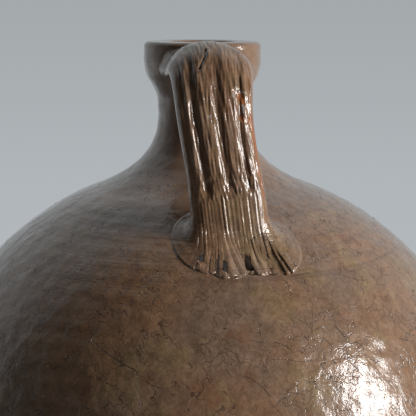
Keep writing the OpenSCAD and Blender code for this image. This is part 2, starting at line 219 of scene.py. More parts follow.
class HandleSizes(bpy.types.PropertyGroup):
    """Sizes of the strap handle and the coils that are worked round its ends."""

    reach: FloatProperty(name="Reach", description="Reach of the strap's middle line along the grip",
                         default=0.077, unit="LENGTH")
    grip_drop: FloatProperty(name="Grip drop", description="Depth below the rim of the straight grip",
                             default=0.056, unit="LENGTH")
    root_lean: FloatProperty(name="Root lean", description="Outward lean down to the shoulder",
                             default=0.0015, unit="LENGTH")
    level_run: FloatProperty(name="Level run", description="Level stretch at the collar",
                             default=0.00125, unit="LENGTH")
    top_drop: FloatProperty(name="Top drop", description="Depth of the middle line at the collar",
                            default=0.0054, unit="LENGTH")
    arch_out: FloatProperty(name="Arch out", description="Pull that lifts the strap off the collar",
                            default=0.026, unit="LENGTH")
    arch_climb: FloatProperty(name="Arch climb", description="Climb over that pull",
                              default=0.0085, unit="LENGTH")
    arch_down: FloatProperty(name="Arch down", description="Pull that turns the strap down",
                             default=0.032, unit="LENGTH")
    thickness: FloatProperty(name="Thickness", description="Thickness of the strap's middle",
                             default=0.011, unit="LENGTH")
    w_top: FloatProperty(name="Top width", description="Width of the strap at the collar",
                         default=0.040, unit="LENGTH")
    w_grip: FloatProperty(name="Grip width", description="Width of the strap along its grip",
                          default=0.0335, unit="LENGTH")
    w_root: FloatProperty(name="Root width", description="Width of the strap at the shoulder",
                          default=0.035, unit="LENGTH")
    wrap: FloatProperty(name="Wrap", description="How far the edges wrap back round the collar",
                        default=0.0085, unit="LENGTH")
    bow: FloatProperty(name="Bow", description="How far the edges turn back along the grip",
                       default=0.002, unit="LENGTH")
    top_shift: FloatProperty(name="Top shift", description="Sideways place of the strap at the collar",
                             default=-0.0027, unit="LENGTH")
    root_shift: FloatProperty(name="Root shift", description="Sideways place at the end of its lean",
                              default=0.0036, unit="LENGTH")
    lean_from: FloatProperty(name="Lean from", description="Depth below the rim where the lean starts",
                             default=0.022, unit="LENGTH")
    lean_to: FloatProperty(name="Lean to", description="Depth below the rim where it would end",
                           default=0.084, unit="LENGTH")
    flute_depth: FloatProperty(name="Flute depth", description="Depth of the finger-pulled flutes",
                               default=0.0013, unit="LENGTH")
    streak_depth: FloatProperty(name="Streak depth", description="Depth of the fine drag lines",
                                default=0.00016, unit="LENGTH")
    skin_inset: FloatProperty(name="Skin inset", description="Room left for clay dragged up beside a tear",
                              default=0.0003, unit="LENGTH")
    upper_coil: FloatProperty(name="Upper coil", description="Reach of the coil on the collar",
                              default=0.005, unit="LENGTH")
    lower_coil: FloatProperty(name="Lower coil", description="Reach of the coil on the shoulder",
                              default=0.0115, unit="LENGTH")


class GlazeLook(bpy.types.PropertyGroup):
    """Colours and scales of the glaze and the bare clay."""

    honey: FloatVectorProperty(name="Honey", description="Main colour of the glaze", subtype="COLOR",
                               size=3, default=(0.400, 0.222, 0.122))
    greyed: FloatVectorProperty(name="Greyed", description="Cooler patches of the glaze",
                                subtype="COLOR", size=3, default=(0.345, 0.222, 0.150))
    olive: FloatVectorProperty(name="Olive", description="Yellowish patches where it ran thick",
                               subtype="COLOR", size=3, default=(0.420, 0.275, 0.140))
    rust: FloatVectorProperty(name="Rust", description="Reddish patches where it is thin",
                              subtype="COLOR", size=3, default=(0.330, 0.145, 0.068))
    stain: FloatVectorProperty(name="Stain", description="Dirt held in the cracks", subtype="COLOR",
                               size=3, default=(0.022, 0.018, 0.016))
    craze_line: FloatVectorProperty(name="Craze line", description="Stain of the fine crazing",
                                    subtype="COLOR", size=3, default=(0.105, 0.050, 0.028))
    bare_clay: FloatVectorProperty(name="Bare clay", description="Fired clay without glaze",
                                   subtype="COLOR", size=3, default=(0.440, 0.285, 0.175))
    worn_clay: FloatVectorProperty(name="Worn clay", description="Orange clay under a chip",
                                   subtype="COLOR", size=3, default=(0.480, 0.150, 0.030))
    craze_cell: FloatProperty(name="Craze cell", description="Size of the crazing's cells",
                              default=0.0042, unit="LENGTH")
    craze_width: FloatProperty(name="Craze width", description="Width of a craze line",
                               default=0.00032, unit="LENGTH")
    glaze_line: FloatProperty(name="Glaze line", description="Height above the floor where the glaze ends",
                              default=0.013, unit="LENGTH")


class StudioLook(bpy.types.PropertyGroup):
    """Camera, window light and backdrop."""

    azimuth: FloatProperty(name="Camera azimuth", description="Angle of the camera round the jug",
                           default=math.radians(-6), subtype="ANGLE")
    distance: FloatProperty(name="Camera distance", description="Level distance from the jug's axis",
                            default=0.6, unit="LENGTH")
    height: FloatProperty(name="Camera height", description="Height of the camera above the floor",
                          default=0.407, unit="LENGTH")
    tilt: FloatProperty(name="Camera tilt", description="Downward tilt of the camera",
                        default=math.radians(9.71), subtype="ANGLE")
    focal: FloatProperty(name="Focal length", description="Focal length in photograph pixels",
                         default=1180.0)
    axis_offset: FloatProperty(name="Axis offset", description="Pixels from the picture's middle to the axis",
                               default=4.0)
    window_azimuth: FloatProperty(name="Window azimuth", description="Angle of the window round the jug",
                                  default=math.radians(64), subtype="ANGLE")
    window_distance: FloatProperty(name="Window distance", description="Distance of the window",
                                   default=2.6, unit="LENGTH")
    window_width: FloatProperty(name="Window width", description="Width of the window",
                                default=0.75, unit="LENGTH")
    window_height: FloatProperty(name="Window height", description="Height of the window",
                                 default=1.5, unit="LENGTH")
    window_sill: FloatProperty(name="Window sill", description="Height of the window's lower edge",
                               default=0.30, unit="LENGTH")
    window_power: FloatProperty(name="Window power", description="Power of the window light in watts",
                                default=62.0)
    wall_high: FloatVectorProperty(name="Wall above", description="Colour of the wall behind, high up",
                                   subtype="COLOR", size=3, default=(0.371, 0.397, 0.413))
    wall_low: FloatVectorProperty(name="Wall below", description="Colour of the wall behind, low down",
                                  subtype="COLOR", size=3, default=(0.447, 0.473, 0.497))
    floor_grey: FloatVectorProperty(name="Floor", description="Colour of the pale floor", subtype="COLOR",
                                    size=3, default=(0.56, 0.57, 0.58))


def ramp(x, x0, x1, a, b):
    """Smooth blend from a to b while x goes from x0 to x1."""
    t = np.clip((np.asarray(x, float) - x0) / (x1 - x0), 0.0, 1.0)
    return a + (b - a) * t * t * (3 - 2 * t)


def bezier(p0, p1, p2, p3, t):
    """Cubic curve through p0 and p3 at the values t."""
    t = np.asarray(t, float)[..., None]
    p0, p1, p2, p3 = (np.asarray(p, float) for p in (p0, p1, p2, p3))
    return (1 - t) ** 3 * p0 + 3 * (1 - t) ** 2 * t * p1 + 3 * (1 - t) * t * t * p2 + t ** 3 * p3


def unit(v):
    """Vectors of length one."""
    v = np.asarray(v, float)
    return v / np.linalg.norm(v, axis=-1, keepdims=True)


def swells(a, b, seed, waves=7, low=0.5, high=1.5):
    """Smooth uneven field over two coordinates, from about -1 to 1: a sum of seeded sine waves."""
    rng = np.random.default_rng(seed)
    total = 0.0
    for _ in range(waves):
        fa, fb = rng.uniform(low, high, 2) * rng.choice([-1, 1], 2)
        total = total + np.sin(fa * a + fb * b + rng.uniform(0, 2 * math.pi))
    return total / math.sqrt(waves)


class Skin:
    """One skin of the pot as a line of radius and height, with its length and its outward side."""

    def __init__(self, points):
        points = np.asarray(points, float)
        step = np.linalg.norm(np.diff(points, axis=0), axis=1)
        keep = np.concatenate([[True], step > 1e-7])
        self.points = points[keep]
        step = np.linalg.norm(np.diff(self.points, axis=0), axis=1)
        self.length = np.concatenate([[0.0], np.cumsum(step)])
        tangent = np.gradient(self.points, self.length, axis=0)
        self.side = unit(np.stack([tangent[:, 1], -tangent[:, 0]], axis=1))

    def at_height(self, z):
        """Length along the skin at which it first passes height z."""
        heights = self.points[:, 1]
        up = heights[-1] > heights[0] or heights.argmax() > 2
        if up:
            top = heights.argmax() + 1
            return float(np.interp(z, heights[:top], self.length[:top]))
        return float(np.interp(-z, -heights, self.length))

    def sample(self, lengths):
        """Points and outward sides at these lengths."""
        point = np.stack([np.interp(lengths, self.length, self.points[:, k]) for k in (0, 1)], axis=1)
        side = np.stack([np.interp(lengths, self.length, self.side[:, k]) for k in (0, 1)], axis=1)
        return point, unit(side)


class Pot:
    """The jug's two skins, foot to mouth and back, from its sizes."""

    def __init__(self, sizes):
        s = self.sizes = sizes
        self.rim_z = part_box("mouth_collar")[1].z
        self.floor_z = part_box("floor_disc")[1].z
        self.belly_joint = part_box("upper_body")[0].z
        self.neck_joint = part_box("neck")[0].z
        self.collar_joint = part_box("mouth_collar")[0].z
        self.flare_z = s.belly_z + s.shoulder_rise * math.sqrt(1 - (s.flare_r / s.belly_r) ** 2)
        self.waist_z = self.flare_z + s.neck_rise
        self.outside = Skin(self.outside_line())
        self.inside = Skin(self.inside_line())

    def lower_line(self, inset):
        s = self.sizes
        t = np.linspace(0, 1, 400)
        line = bezier((s.foot_r, 0), (s.foot_r + s.foot_lean, s.foot_pull),
                      (s.belly_r, s.belly_z - s.belly_pull), (s.belly_r, s.belly_z), t)
        along = unit(np.gradient(line, axis=0))
        return line + inset * np.stack([-along[:, 1], along[:, 0]], axis=1)

    def shoulder_line(self, inset, top_r):
        s = self.sizes
        angle = np.linspace(0, math.acos(top_r / (s.belly_r - inset)), 300)[1:]
        return np.stack([(s.belly_r - inset) * np.cos(angle),
                         s.belly_z + (s.shoulder_rise - inset) * np.sin(angle)], axis=1)

    def shoulder_dir(self, r, inset):
        s = self.sizes
        wide, rise = s.belly_r - inset, s.shoulder_rise - inset
        return unit((-1.0, rise * r / wide ** 2 / math.sqrt(1 - (r / wide) ** 2)))

    def outside_line(self):
        s = self.sizes
        lower = self.lower_line(0)
        lower = lower[lower[:, 1] > s.foot_bevel]
        shoulder = self.shoulder_line(0, s.flare_r)
        start, end = np.array((s.flare_r, self.flare_z)), np.array((s.neck_r, self.waist_z))
        flare = bezier(start, start + s.flare_pull * self.shoulder_dir(s.flare_r, 0),
                       end - (0, s.waist_pull), end, np.linspace(0, 1, 160)[1:])
        low, high = end + (0, s.waist_band), np.array((s.collar_r, self.rim_z - s.collar_band))
        cove = bezier(low, low + (0, s.cove_pull), high - (0, s.cove_pull), high, np.linspace(0, 1, 120))
        angle = np.radians(np.linspace(0, 90, 24))
        turn = s.rim_round * np.stack([np.cos(angle), np.sin(angle)], axis=1)
        outer = (s.collar_r - s.rim_round, self.rim_z - s.rim_round) + turn
        inner = (s.mouth_r + s.rim_round, self.rim_z - s.rim_round) + turn[::-1] * (-1, 1)
        return np.concatenate([[(s.foot_r - s.foot_bevel, 0)], lower, shoulder, flare, cove, outer, inner,
                               [(s.mouth_r, self.collar_joint)]])

    def inside_line(self):
        s = self.sizes
        flare_r = s.flare_r - s.wall * self.shoulder_dir(s.flare_r, 0)[1]
        shoulder = self.shoulder_line(s.wall, flare_r)
        start, end = shoulder[-1], np.array((s.passage_r, self.waist_z - s.wall))
        flare = bezier(start, start + s.passage_pull * self.shoulder_dir(flare_r, s.wall),
                       end - (0, s.waist_pull), end, np.linspace(0, 1, 120)[1:])
        lower = self.lower_line(s.wall)
        lower = lower[lower[:, 1] > self.floor_z]
        up = np.concatenate([lower, shoulder, flare, [(s.passage_r, self.collar_joint)]])
        return up[::-1]

    def collar_skin(self, z):
        """Radius and outward side of the collar's and neck's outside at heights z."""
        return self.outside.sample(np.interp(
            z, self.outside.points[:self.rim_index(), 1], self.outside.length[:self.rim_index()]))

    def rim_index(self):
        return int(self.outside.points[:, 1].argmax()) + 1


class Outline:
    """Closed outline of one turned piece, with how deep each kind of mark is at each point."""

    KINDS = ("ring", "wobble", "press", "cut")

    def __init__(self):
        self.points, self.sides, self.along, self.marks = [], [], [], []

    def add(self, points, sides, along, **depths):
        points = np.asarray(points, float).reshape(-1, 2)
        self.points.append(points)
        self.sides.append(np.broadcast_to(sides, points.shape))
        self.along.append(np.broadcast_to(along, len(points)))
        row = [np.broadcast_to(depths.get(kind, 0.0), len(points)) for kind in self.KINDS]
        self.marks.append(np.stack(row, axis=1))
        return self

    def add_skin(self, skin, start, end, spacing, **depths):
        """A stretch of a skin, with a close pair of points at each end so that joints stay unseen."""
        count = max(2, int(round(abs(end - start) / spacing)) + 1)
        inner = np.linspace(start + JOINT_RING, end - JOINT_RING, count)
        lengths = np.concatenate([[start], inner, [end]])
        point, side = skin.sample(lengths)
        return self.add(point, side, lengths, **depths)

    def add_key(self, sizes, r_from, r_to, z):
        """The ridge of a joint, on the way from one radius to the other."""
        middle, towards = (r_from + r_to) / 2, math.copysign(1, r_to - r_from)
        points = [(middle - towards * sizes.key_w / 2, z), (middle, z + sizes.key_h),
                  (middle + towards * sizes.key_w / 2, z)]
        return self.add(points, (0, 1), 0)

    def mesh_object(self, name):
        """The outline as a row of points that carry its marks, closed by repeating the first one."""
        parts = (np.concatenate(part) for part in (self.points, self.sides, self.along, self.marks))
        point, side, along, marks = (np.concatenate([part, part[:1]]) for part in parts)
        mesh = bpy.data.meshes.new(name)
        flat = np.insert(point, 1, 0.0, axis=1)
        mesh.from_pydata(flat.tolist(), [(i, i + 1) for i in range(len(point) - 1)], [])
        facing = mesh.attributes.new("facing", "FLOAT_VECTOR", "POINT")
        facing.data.foreach_set("vector", np.insert(side, 1, 0.0, axis=1).astype(np.float32).ravel())
        mesh.attributes.new("along", "FLOAT", "POINT").data.foreach_set("value", along.astype(np.float32))
        for k, kind in enumerate(self.KINDS):
            depth = mesh.attributes.new(kind, "FLOAT", "POINT")
            depth.data.foreach_set("value", marks[:, k].astype(np.float32))
        piece = bpy.data.objects.new(name, mesh)
        bpy.context.scene.collection.objects.link(piece)
        return piece


def open_socket(sockets, key):
    """The socket of that name that is in use, or the one at that place."""
    if isinstance(key, int):
        return sockets[key]
    for socket in sockets:
        if socket.name == key and socket.enabled:
            return socket
    raise KeyError(f"no socket named {key!r} among {[s.name for s in sockets]}")


class Wiring:
    """Adds nodes to one tree. A socket given as a value is linked, and anything else is set."""

    def __init__(self, tree):
        self.tree = tree

    def node(self, kind, inputs=None, **settings):
        node = self.tree.nodes.new(kind)
        for key, value in settings.items():
            setattr(node, key, value)
        for key, value in (inputs or {}).items():
            socket = open_socket(node.inputs, key)
            if isinstance(value, bpy.types.NodeSocket):
                self.tree.links.new(value, socket)
            else:
                socket.default_value = value
        return node

    def add(self, kind, inputs=None, output=None, **settings):
        node = self.node(kind, inputs, **settings)
        if output is None:
            return next(socket for socket in node.outputs if socket.enabled)
        return open_socket(node.outputs, output)

    def math(self, operation, a, b=0.0, c=0.0, clamp=False):
        return self.add("ShaderNodeMath", {0: a, 1: b, 2: c}, operation=operation, use_clamp=clamp)

    def vector(self, operation, a, b=(0, 0, 0)):
        return self.add("ShaderNodeVectorMath", {0: a, 1: b}, operation=operation)

    def scaled(self, a, factor):
        return self.add("ShaderNodeVectorMath", {0: a, "Scale": factor}, operation="SCALE")

    def band(self, value, low, high, a=0.0, b=1.0):
        """Smooth step from a to b between two values."""
        return self.add("ShaderNodeMapRange", {"Value": value, "From Min": low, "From Max": high,
                                               "To Min": a, "To Max": b}, interpolation_type="SMOOTHSTEP")

    def mix(self, factor, a, b, kind="RGBA", blend="MIX"):
        settings = {"data_type": kind}
        if kind == "RGBA":
            settings["blend_type"] = blend
        return self.add("ShaderNodeMix", {"Factor": factor, "A": a, "B": b}, **settings)

    def noise(self, vector, scale, detail=2.0, rough=0.5, output="Fac"):
        return self.add("ShaderNodeTexNoise", {"Vector": vector, "Scale": scale, "Detail": detail,
                                               "Roughness": rough}, output)

    def cells(self, vector, scale, feature="F1", output="Distance"):
        return self.add("ShaderNodeTexVoronoi", {"Vector": vector, "Scale": scale}, output, feature=feature)

    def attribute(self, name, kind="FLOAT"):
        return self.add("GeometryNodeInputNamedAttribute", {"Name": name}, "Attribute", data_type=kind)


def geometry_tree(name, inputs):
    """A geometry node tree with a mesh output and these named inputs, as (name, socket type)."""
    tree = bpy.data.node_groups.new(name, "GeometryNodeTree")
    tree.interface.new_socket("Geometry", in_out="OUTPUT", socket_type="NodeSocketGeometry")
    tree.interface.new_socket("Geometry", in_out="INPUT", socket_type="NodeSocketGeometry")
    for label, kind in inputs:
        tree.interface.new_socket(label, in_out="INPUT", socket_type=kind)
    wires = Wiring(tree)
    return tree, wires, wires.node("NodeGroupInput").outputs


def finish_tree(wires, geometry, material):
    """Ends a tree with its instances made real and its material set."""
    real = wires.add("GeometryNodeRealizeInstances", {"Geometry": geometry})
    done = wires.add("GeometryNodeSetMaterial", {"Geometry": real, "Material": material})
    wires.node("NodeGroupOutput", {"Geometry": done})


def turned_tree():
    """Turns an outline round the axis and presses the maker's marks into its skin."""
    tree, w, given = geometry_tree("Turned piece", [
        ("Outline", "NodeSocketObject"), ("Segments", "NodeSocketInt"), ("Ring spacing", "NodeSocketFloat"),
        ("Presses", "NodeSocketInt"), ("Cut spacing", "NodeSocketFloat"), ("Drift", "NodeSocketFloat"),
        ("Drift from", "NodeSocketFloat"), ("Drift to", "NodeSocketFloat"),
        ("Material", "NodeSocketMaterial")])
    outline = w.add("GeometryNodeObjectInfo", {"Object": given["Outline"]}, "Geometry")
    rows = w.add("GeometryNodeAttributeDomainSize", {"Geometry": outline}, "Point Count", component="MESH")
    grid = w.add("GeometryNodeMeshGrid", {"Size X": 1.0, "Size Y": 1.0, "Vertices Y": rows,
                                          "Vertices X": w.math("ADD", given["Segments"], 1.0)}, "Mesh")
    place = w.node("ShaderNodeSeparateXYZ", {0: w.add("GeometryNodeInputPosition")}).outputs
    share = w.math("ADD", place["X"], 0.5)
    row = w.math("ROUND", w.math("MULTIPLY", w.math("ADD", place["Y"], 0.5), w.math("SUBTRACT", rows, 1.0)))

    def from_outline(value, kind="FLOAT"):
        return w.add("GeometryNodeSampleIndex", {"Geometry": outline, "Value": value, "Index": row},
                     data_type=kind, domain="POINT")

    def turned(flat):
        part = w.node("ShaderNodeSeparateXYZ", {0: from_outline(flat, "FLOAT_VECTOR")}).outputs
        return w.add("ShaderNodeCombineXYZ", {"X": w.math("MULTIPLY", part["X"], cosine),
                                              "Y": w.math("MULTIPLY", part["X"], sine), "Z": part["Z"]})

    angle = w.math("MULTIPLY", share, 2 * math.pi)
    cosine, sine = w.math("COSINE", angle), w.math("SINE", angle)
    skin = turned(w.add("GeometryNodeInputPosition"))
    side = turned(w.attribute("facing", "FLOAT_VECTOR"))
    along = from_outline(w.attribute("along"))

    # Throwing rings climb as a spiral and fade in and out
    spiral = w.math("ADD", w.math("DIVIDE", along, given["Ring spacing"]), share)
    uneven = w.math("ADD", spiral, w.math("MULTIPLY", w.noise(skin, 14.0), 1.4))
    wave = w.math("MULTIPLY_ADD", w.math("COSINE", w.math("MULTIPLY", uneven, 2 * math.pi)), 0.5, 0.5)
    strength = w.band(w.noise(skin, 9.0, 1.0), 0.30, 0.70, 0.25, 1.0)
    rings = w.math("MULTIPLY", w.math("MULTIPLY", wave, strength), from_outline(w.attribute("ring")))
    broad = w.band(w.noise(skin, 11.0, 1.5), 0.25, 0.75)
    small = w.band(w.noise(skin, 55.0, 2.0), 0.25, 0.75)
    lumps = w.math("MULTIPLY_ADD", small, 0.28, w.math("MULTIPLY", broad, 0.72))
    swell = w.math("MULTIPLY", lumps, from_outline(w.attribute("wobble")))
    round_press = w.math("MULTIPLY", w.math("MULTIPLY", share, given["Presses"]), 2 * math.pi)
    pressed = w.math("MULTIPLY_ADD", w.math("COSINE", round_press), 0.5, 0.5)
    press = w.math("MULTIPLY", pressed, from_outline(w.attribute("press")))
    pulled = w.add("ShaderNodeVectorMath", {0: skin, 1: (0.19, 0.03, 0.0)}, "Value", operation="DISTANCE")
    arcs = w.math("COSINE", w.math("DIVIDE", w.math("MULTIPLY", pulled, 2 * math.pi), given["Cut spacing"]))
    cut = w.math("MULTIPLY", w.math("MULTIPLY_ADD", arcs, 0.5, 0.5), from_outline(w.attribute("cut")))
    depth = w.math("ADD", w.math("ADD", rings, swell), w.math("ADD", press, cut))

    height = w.node("ShaderNodeSeparateXYZ", {0: skin}).outputs["Z"]
    risen = w.band(height, given["Drift from"], given["Drift to"])
    drift = w.add("ShaderNodeCombineXYZ", {"X": w.math("MULTIPLY", risen, given["Drift"])})
    moved = w.vector("ADD", w.vector("SUBTRACT", skin, w.scaled(side, depth)), drift)
    shaped = w.add("GeometryNodeSetPosition", {"Geometry": grid, "Position": moved})
    closed = w.add("GeometryNodeMergeByDistance", {"Geometry": shaped, "Distance": 2e-6})
    smooth = w.add("GeometryNodeSetShadeSmooth", {"Geometry": closed})
    finish_tree(w, smooth, given["Material"])
    return tree


def bead_tree():
    """Scatters melted beads of glaze over a wall, and sets the named ones, each half sunk."""
    tree, w, given = geometry_tree("Glaze beads", [
        ("Named beads", "NodeSocketObject"), ("Density", "NodeSocketFloat"), ("Smallest", "NodeSocketFloat"),
        ("Largest", "NodeSocketFloat"), ("Lowest", "NodeSocketFloat"), ("Seed", "NodeSocketInt"),
        ("Material", "NodeSocketMaterial")])
    height = w.node("ShaderNodeSeparateXYZ", {0: w.add("GeometryNodeInputPosition")}).outputs["Z"]
    outer = w.math("MULTIPLY", w.math("GREATER_THAN", height, given["Lowest"]),
                   w.math("GREATER_THAN", w.attribute("outer"), 0.5))
    spread = w.node("GeometryNodeDistributePointsOnFaces", {
        "Mesh": given["Geometry"], "Selection": outer, "Density": given["Density"], "Seed": given["Seed"]})
    chance = w.add("FunctionNodeRandomValue", {"Min": 0.0, "Max": 1.0, "Seed": given["Seed"]},
                   data_type="FLOAT")
    size = w.math("MULTIPLY_ADD", w.math("POWER", chance, 3.0),
                  w.math("SUBTRACT", given["Largest"], given["Smallest"]), given["Smallest"])
    bead = w.add("GeometryNodeMeshIcoSphere", {"Radius": 1.0, "Subdivisions": 2}, "Mesh")
    bead = w.add("GeometryNodeSetShadeSmooth", {"Geometry": bead})
    even = w.add("ShaderNodeCombineXYZ", {"X": size, "Y": size, "Z": size})
    flat = w.vector("MULTIPLY", even, (1, 1, 0.42))
    scattered = w.add("GeometryNodeInstanceOnPoints", {
        "Points": spread.outputs["Points"], "Instance": bead, "Rotation": spread.outputs["Rotation"],
        "Scale": flat})
    marks = w.add("GeometryNodeObjectInfo", {"Object": given["Named beads"]}, "Geometry")
    aim = w.add("FunctionNodeAlignRotationToVector",
                {"Vector": w.attribute("facing", "FLOAT_VECTOR")}, axis="Z")
    radius = w.attribute("radius")
    own = w.vector("MULTIPLY", w.add("ShaderNodeCombineXYZ", {"X": radius, "Y": radius, "Z": radius}),
                   (1, 1, 0.5))
    named = w.add("GeometryNodeInstanceOnPoints", {"Points": marks, "Instance": bead, "Rotation": aim,
                                                   "Scale": own})
    join = w.node("GeometryNodeJoinGeometry")
    for part in (given["Geometry"], w.add("GeometryNodeRealizeInstances", {"Geometry": scattered}),
                 w.add("GeometryNodeRealizeInstances", {"Geometry": named})):
        tree.links.new(part, join.inputs[0])
    finish_tree(w, join.outputs[0], given["Material"])
    return tree


def grown(name, tree, values, start=None):
    """The mesh that a tree makes from these named inputs, with no modifier left on anything."""
    host = bpy.data.objects.new(name, start or bpy.data.meshes.new(name))
    bpy.context.scene.collection.objects.link(host)
    modifier = host.modifiers.new(tree.name, "NODES")
    modifier.node_group = tree
    keys = {item.name: item.identifier for item in tree.interface.items_tree if item.in_out == "INPUT"}
    for label, value in values.items():
        modifier[keys[label]] = value
    host.update_tag()
    bpy.context.view_layer.update()
    graph = bpy.context.evaluated_depsgraph_get()
    mesh = bpy.data.meshes.new_from_object(host.evaluated_get(graph), preserve_all_data_layers=True,
                                           depsgraph=graph)
    bpy.data.objects.remove(host)
    if not mesh.polygons:
        raise RuntimeError(f"{name}: the tree made no faces")
    mesh.name = name
    return mesh


def coordinates(mesh):
    """The mesh's points as an array."""
    flat = np.empty(len(mesh.vertices) * 3, np.float32)
    mesh.vertices.foreach_get("co", flat)
    return flat.reshape(-1, 3).astype(float)


def face_outwards(mesh):
    """Turns a closed mesh the right way round if its volume comes out negative."""
    mesh.calc_loop_triangles()
    corners = np.empty(len(mesh.loop_triangles) * 3, np.int32)
    mesh.loop_triangles.foreach_get("vertices", corners)
    a, b, c = coordinates(mesh)[corners.reshape(-1, 3)].transpose(1, 0, 2)
    if np.einsum("ij,ij->i", a, np.cross(b, c)).sum() < 0:
        mesh.flip_normals()


def ring_mesh(name, rings, looped=False):
    """A closed mesh through rows of points: each row is a closed ring, and the ends are capped."""
    count, around = rings.shape[:2]
    index = np.arange(count * around).reshape(count, around)
    nxt = np.roll(index, -1, axis=0) if looped else index[1:]
    low = index if looped else index[:-1]
    quads = np.stack([low, np.roll(low, -1, axis=1), np.roll(nxt, -1, axis=1), nxt], axis=2).reshape(-1, 4)
    faces = quads.tolist()
    points = rings.reshape(-1, 3)
    if not looped:
        middle = rings[[0, -1]].mean(axis=1)
        base = len(points)
        points = np.concatenate([points, middle])
        for ring, centre, flip in ((index[0], base, False), (index[-1], base + 1, True)):
            for a, b in zip(ring, np.roll(ring, -1)):
                faces.append([int(b), int(a), centre] if not flip else [int(a), int(b), centre])
    mesh = bpy.data.meshes.new(name)
    mesh.from_pydata(points.tolist(), [], faces)
    mesh.update()
    face_outwards(mesh)
    mesh.shade_smooth()
    return mesh


def place_piece(name, mesh, node, material=None):
    """Puts a finished mesh in the scene as the piece that stands for a node of the frame."""
    if material is not None:
        mesh.materials.clear()
        mesh.materials.append(material)
    piece = bpy.data.objects.new(name, mesh)
    bpy.context.scene.collection.objects.link(piece)
    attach(piece, "root")
    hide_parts(node)
    return piece


class Lens:
    """The photograph's camera: lines of sight through its pixels."""

    def __init__(self, studio):
        a = studio.azimuth
        self.place = Vector((math.sin(a) * studio.distance, -math.cos(a) * studio.distance, studio.height))
        self.turn = Euler((math.pi / 2 - studio.tilt, 0, a))
        self.focal = studio.focal
        self.middle = (PHOTO_SIDE / 2 - studio.axis_offset, PHOTO_SIDE / 2)

    def ray(self, pixel):
        x, y = pixel
        sight = Vector(((x - self.middle[0]) / self.focal, -(y - self.middle[1]) / self.focal, -1))
        sight.rotate(self.turn)
        return sight.normalized()

    def on(self, tree, pixels):
        """Where the lines of sight through these pixels first meet a surface, and its sides there."""
        places, sides = [], []
        for pixel in pixels:
            place, side, _, _ = tree.ray_cast(self.place, self.ray(pixel))
            if place is not None:
                places.append(place)
                sides.append(side)
        return np.array(places), np.array(sides)


def surface_tree(mesh):
    return BVHTree.FromPolygons([v.co for v in mesh.vertices], [tuple(p.vertices) for p in mesh.polygons])


def closest_on_line(points, line):
    """For each point: its distance to a line of points, which side it is on, and the length along it."""
    best = np.full(len(points), np.inf)
    sign, along = np.ones(len(points)), np.zeros(len(points))
    centre = line.mean(axis=0)
    up = unit(centre - (0, 0, centre[2] * 0.6))
    start = 0.0
    for k, (a, b) in enumerate(zip(line[:-1], line[1:])):
        step = b - a
        size = np.linalg.norm(step)
        raw = (points - a) @ step / size ** 2
        t = np.clip(raw, 0, 1)
        gap = points - (a + t[:, None] * step)
        distance = np.linalg.norm(gap, axis=1)
        nearer = distance < best
        best[nearer] = distance[nearer]
        side = np.sign(np.cross(step, gap) @ up)
        sign[nearer] = side[nearer]
        first, last = k == 0, k == len(line) - 2
        free = np.where((raw < 0) & first | (raw > 1) & last, raw, t)
        along[nearer] = (start + free * size)[nearer]
        start += size
    return best, np.where(sign == 0, 1, sign), along, start


def set_floats(mesh, name, values):
    layer = mesh.attributes.get(name) or mesh.attributes.new(name, "FLOAT", "POINT")
    layer.data.foreach_set("value", np.asarray(values, np.float32))


def mark_cracks(mesh, lens, tree):
    """Writes on each point how far it is to either side of the nearest crack, and that crack's width."""
    points = coordinates(mesh)
    near = np.full(len(points), 1.0)
    side = np.full(len(points), 1.0)
    width = np.zeros(len(points))
    for pixels, full_width in CRACKS.values():
        line, _ = lens.on(tree, pixels)
        if len(line) < 2:
            continue
        close = np.linalg.norm(points - line.mean(axis=0), axis=1) < 0.08
        best, sign, along, total = closest_on_line(points[close], line)
        taper = min(0.35 * total, 0.004)
        room = np.minimum(along, total - along) / taper
        nearer = best < near[close]
        where = np.flatnonzero(close)[nearer]
        near[where] = best[nearer]
        side[where] = (sign * best)[nearer]
        width[where] = (full_width * MM / 2 * np.clip(room, -1.0, 1.0))[nearer]
    set_floats(mesh, "crack_near", near)
    set_floats(mesh, "crack_side", side)
    set_floats(mesh, "crack_width", width)


def named_beads(lens, tree):
    """The beads that the photograph shows, as points with a size and a side."""
    mesh = bpy.data.meshes.new("named_beads")
    places, sides = lens.on(tree, [pixel for pixel, _ in BEADS.values()])
    radii = [radius * MM * 0.5 for _, radius in BEADS.values()]
    mesh.from_pydata(places.tolist(), [], [])
    mesh.attributes.new("facing", "FLOAT_VECTOR", "POINT").data.foreach_set(
        "vector", sides.astype(np.float32).ravel())
    set_floats(mesh, "radius", radii[:len(places)])
    holder = bpy.data.objects.new("named_beads", mesh)
    bpy.context.scene.collection.objects.link(holder)
    return holder


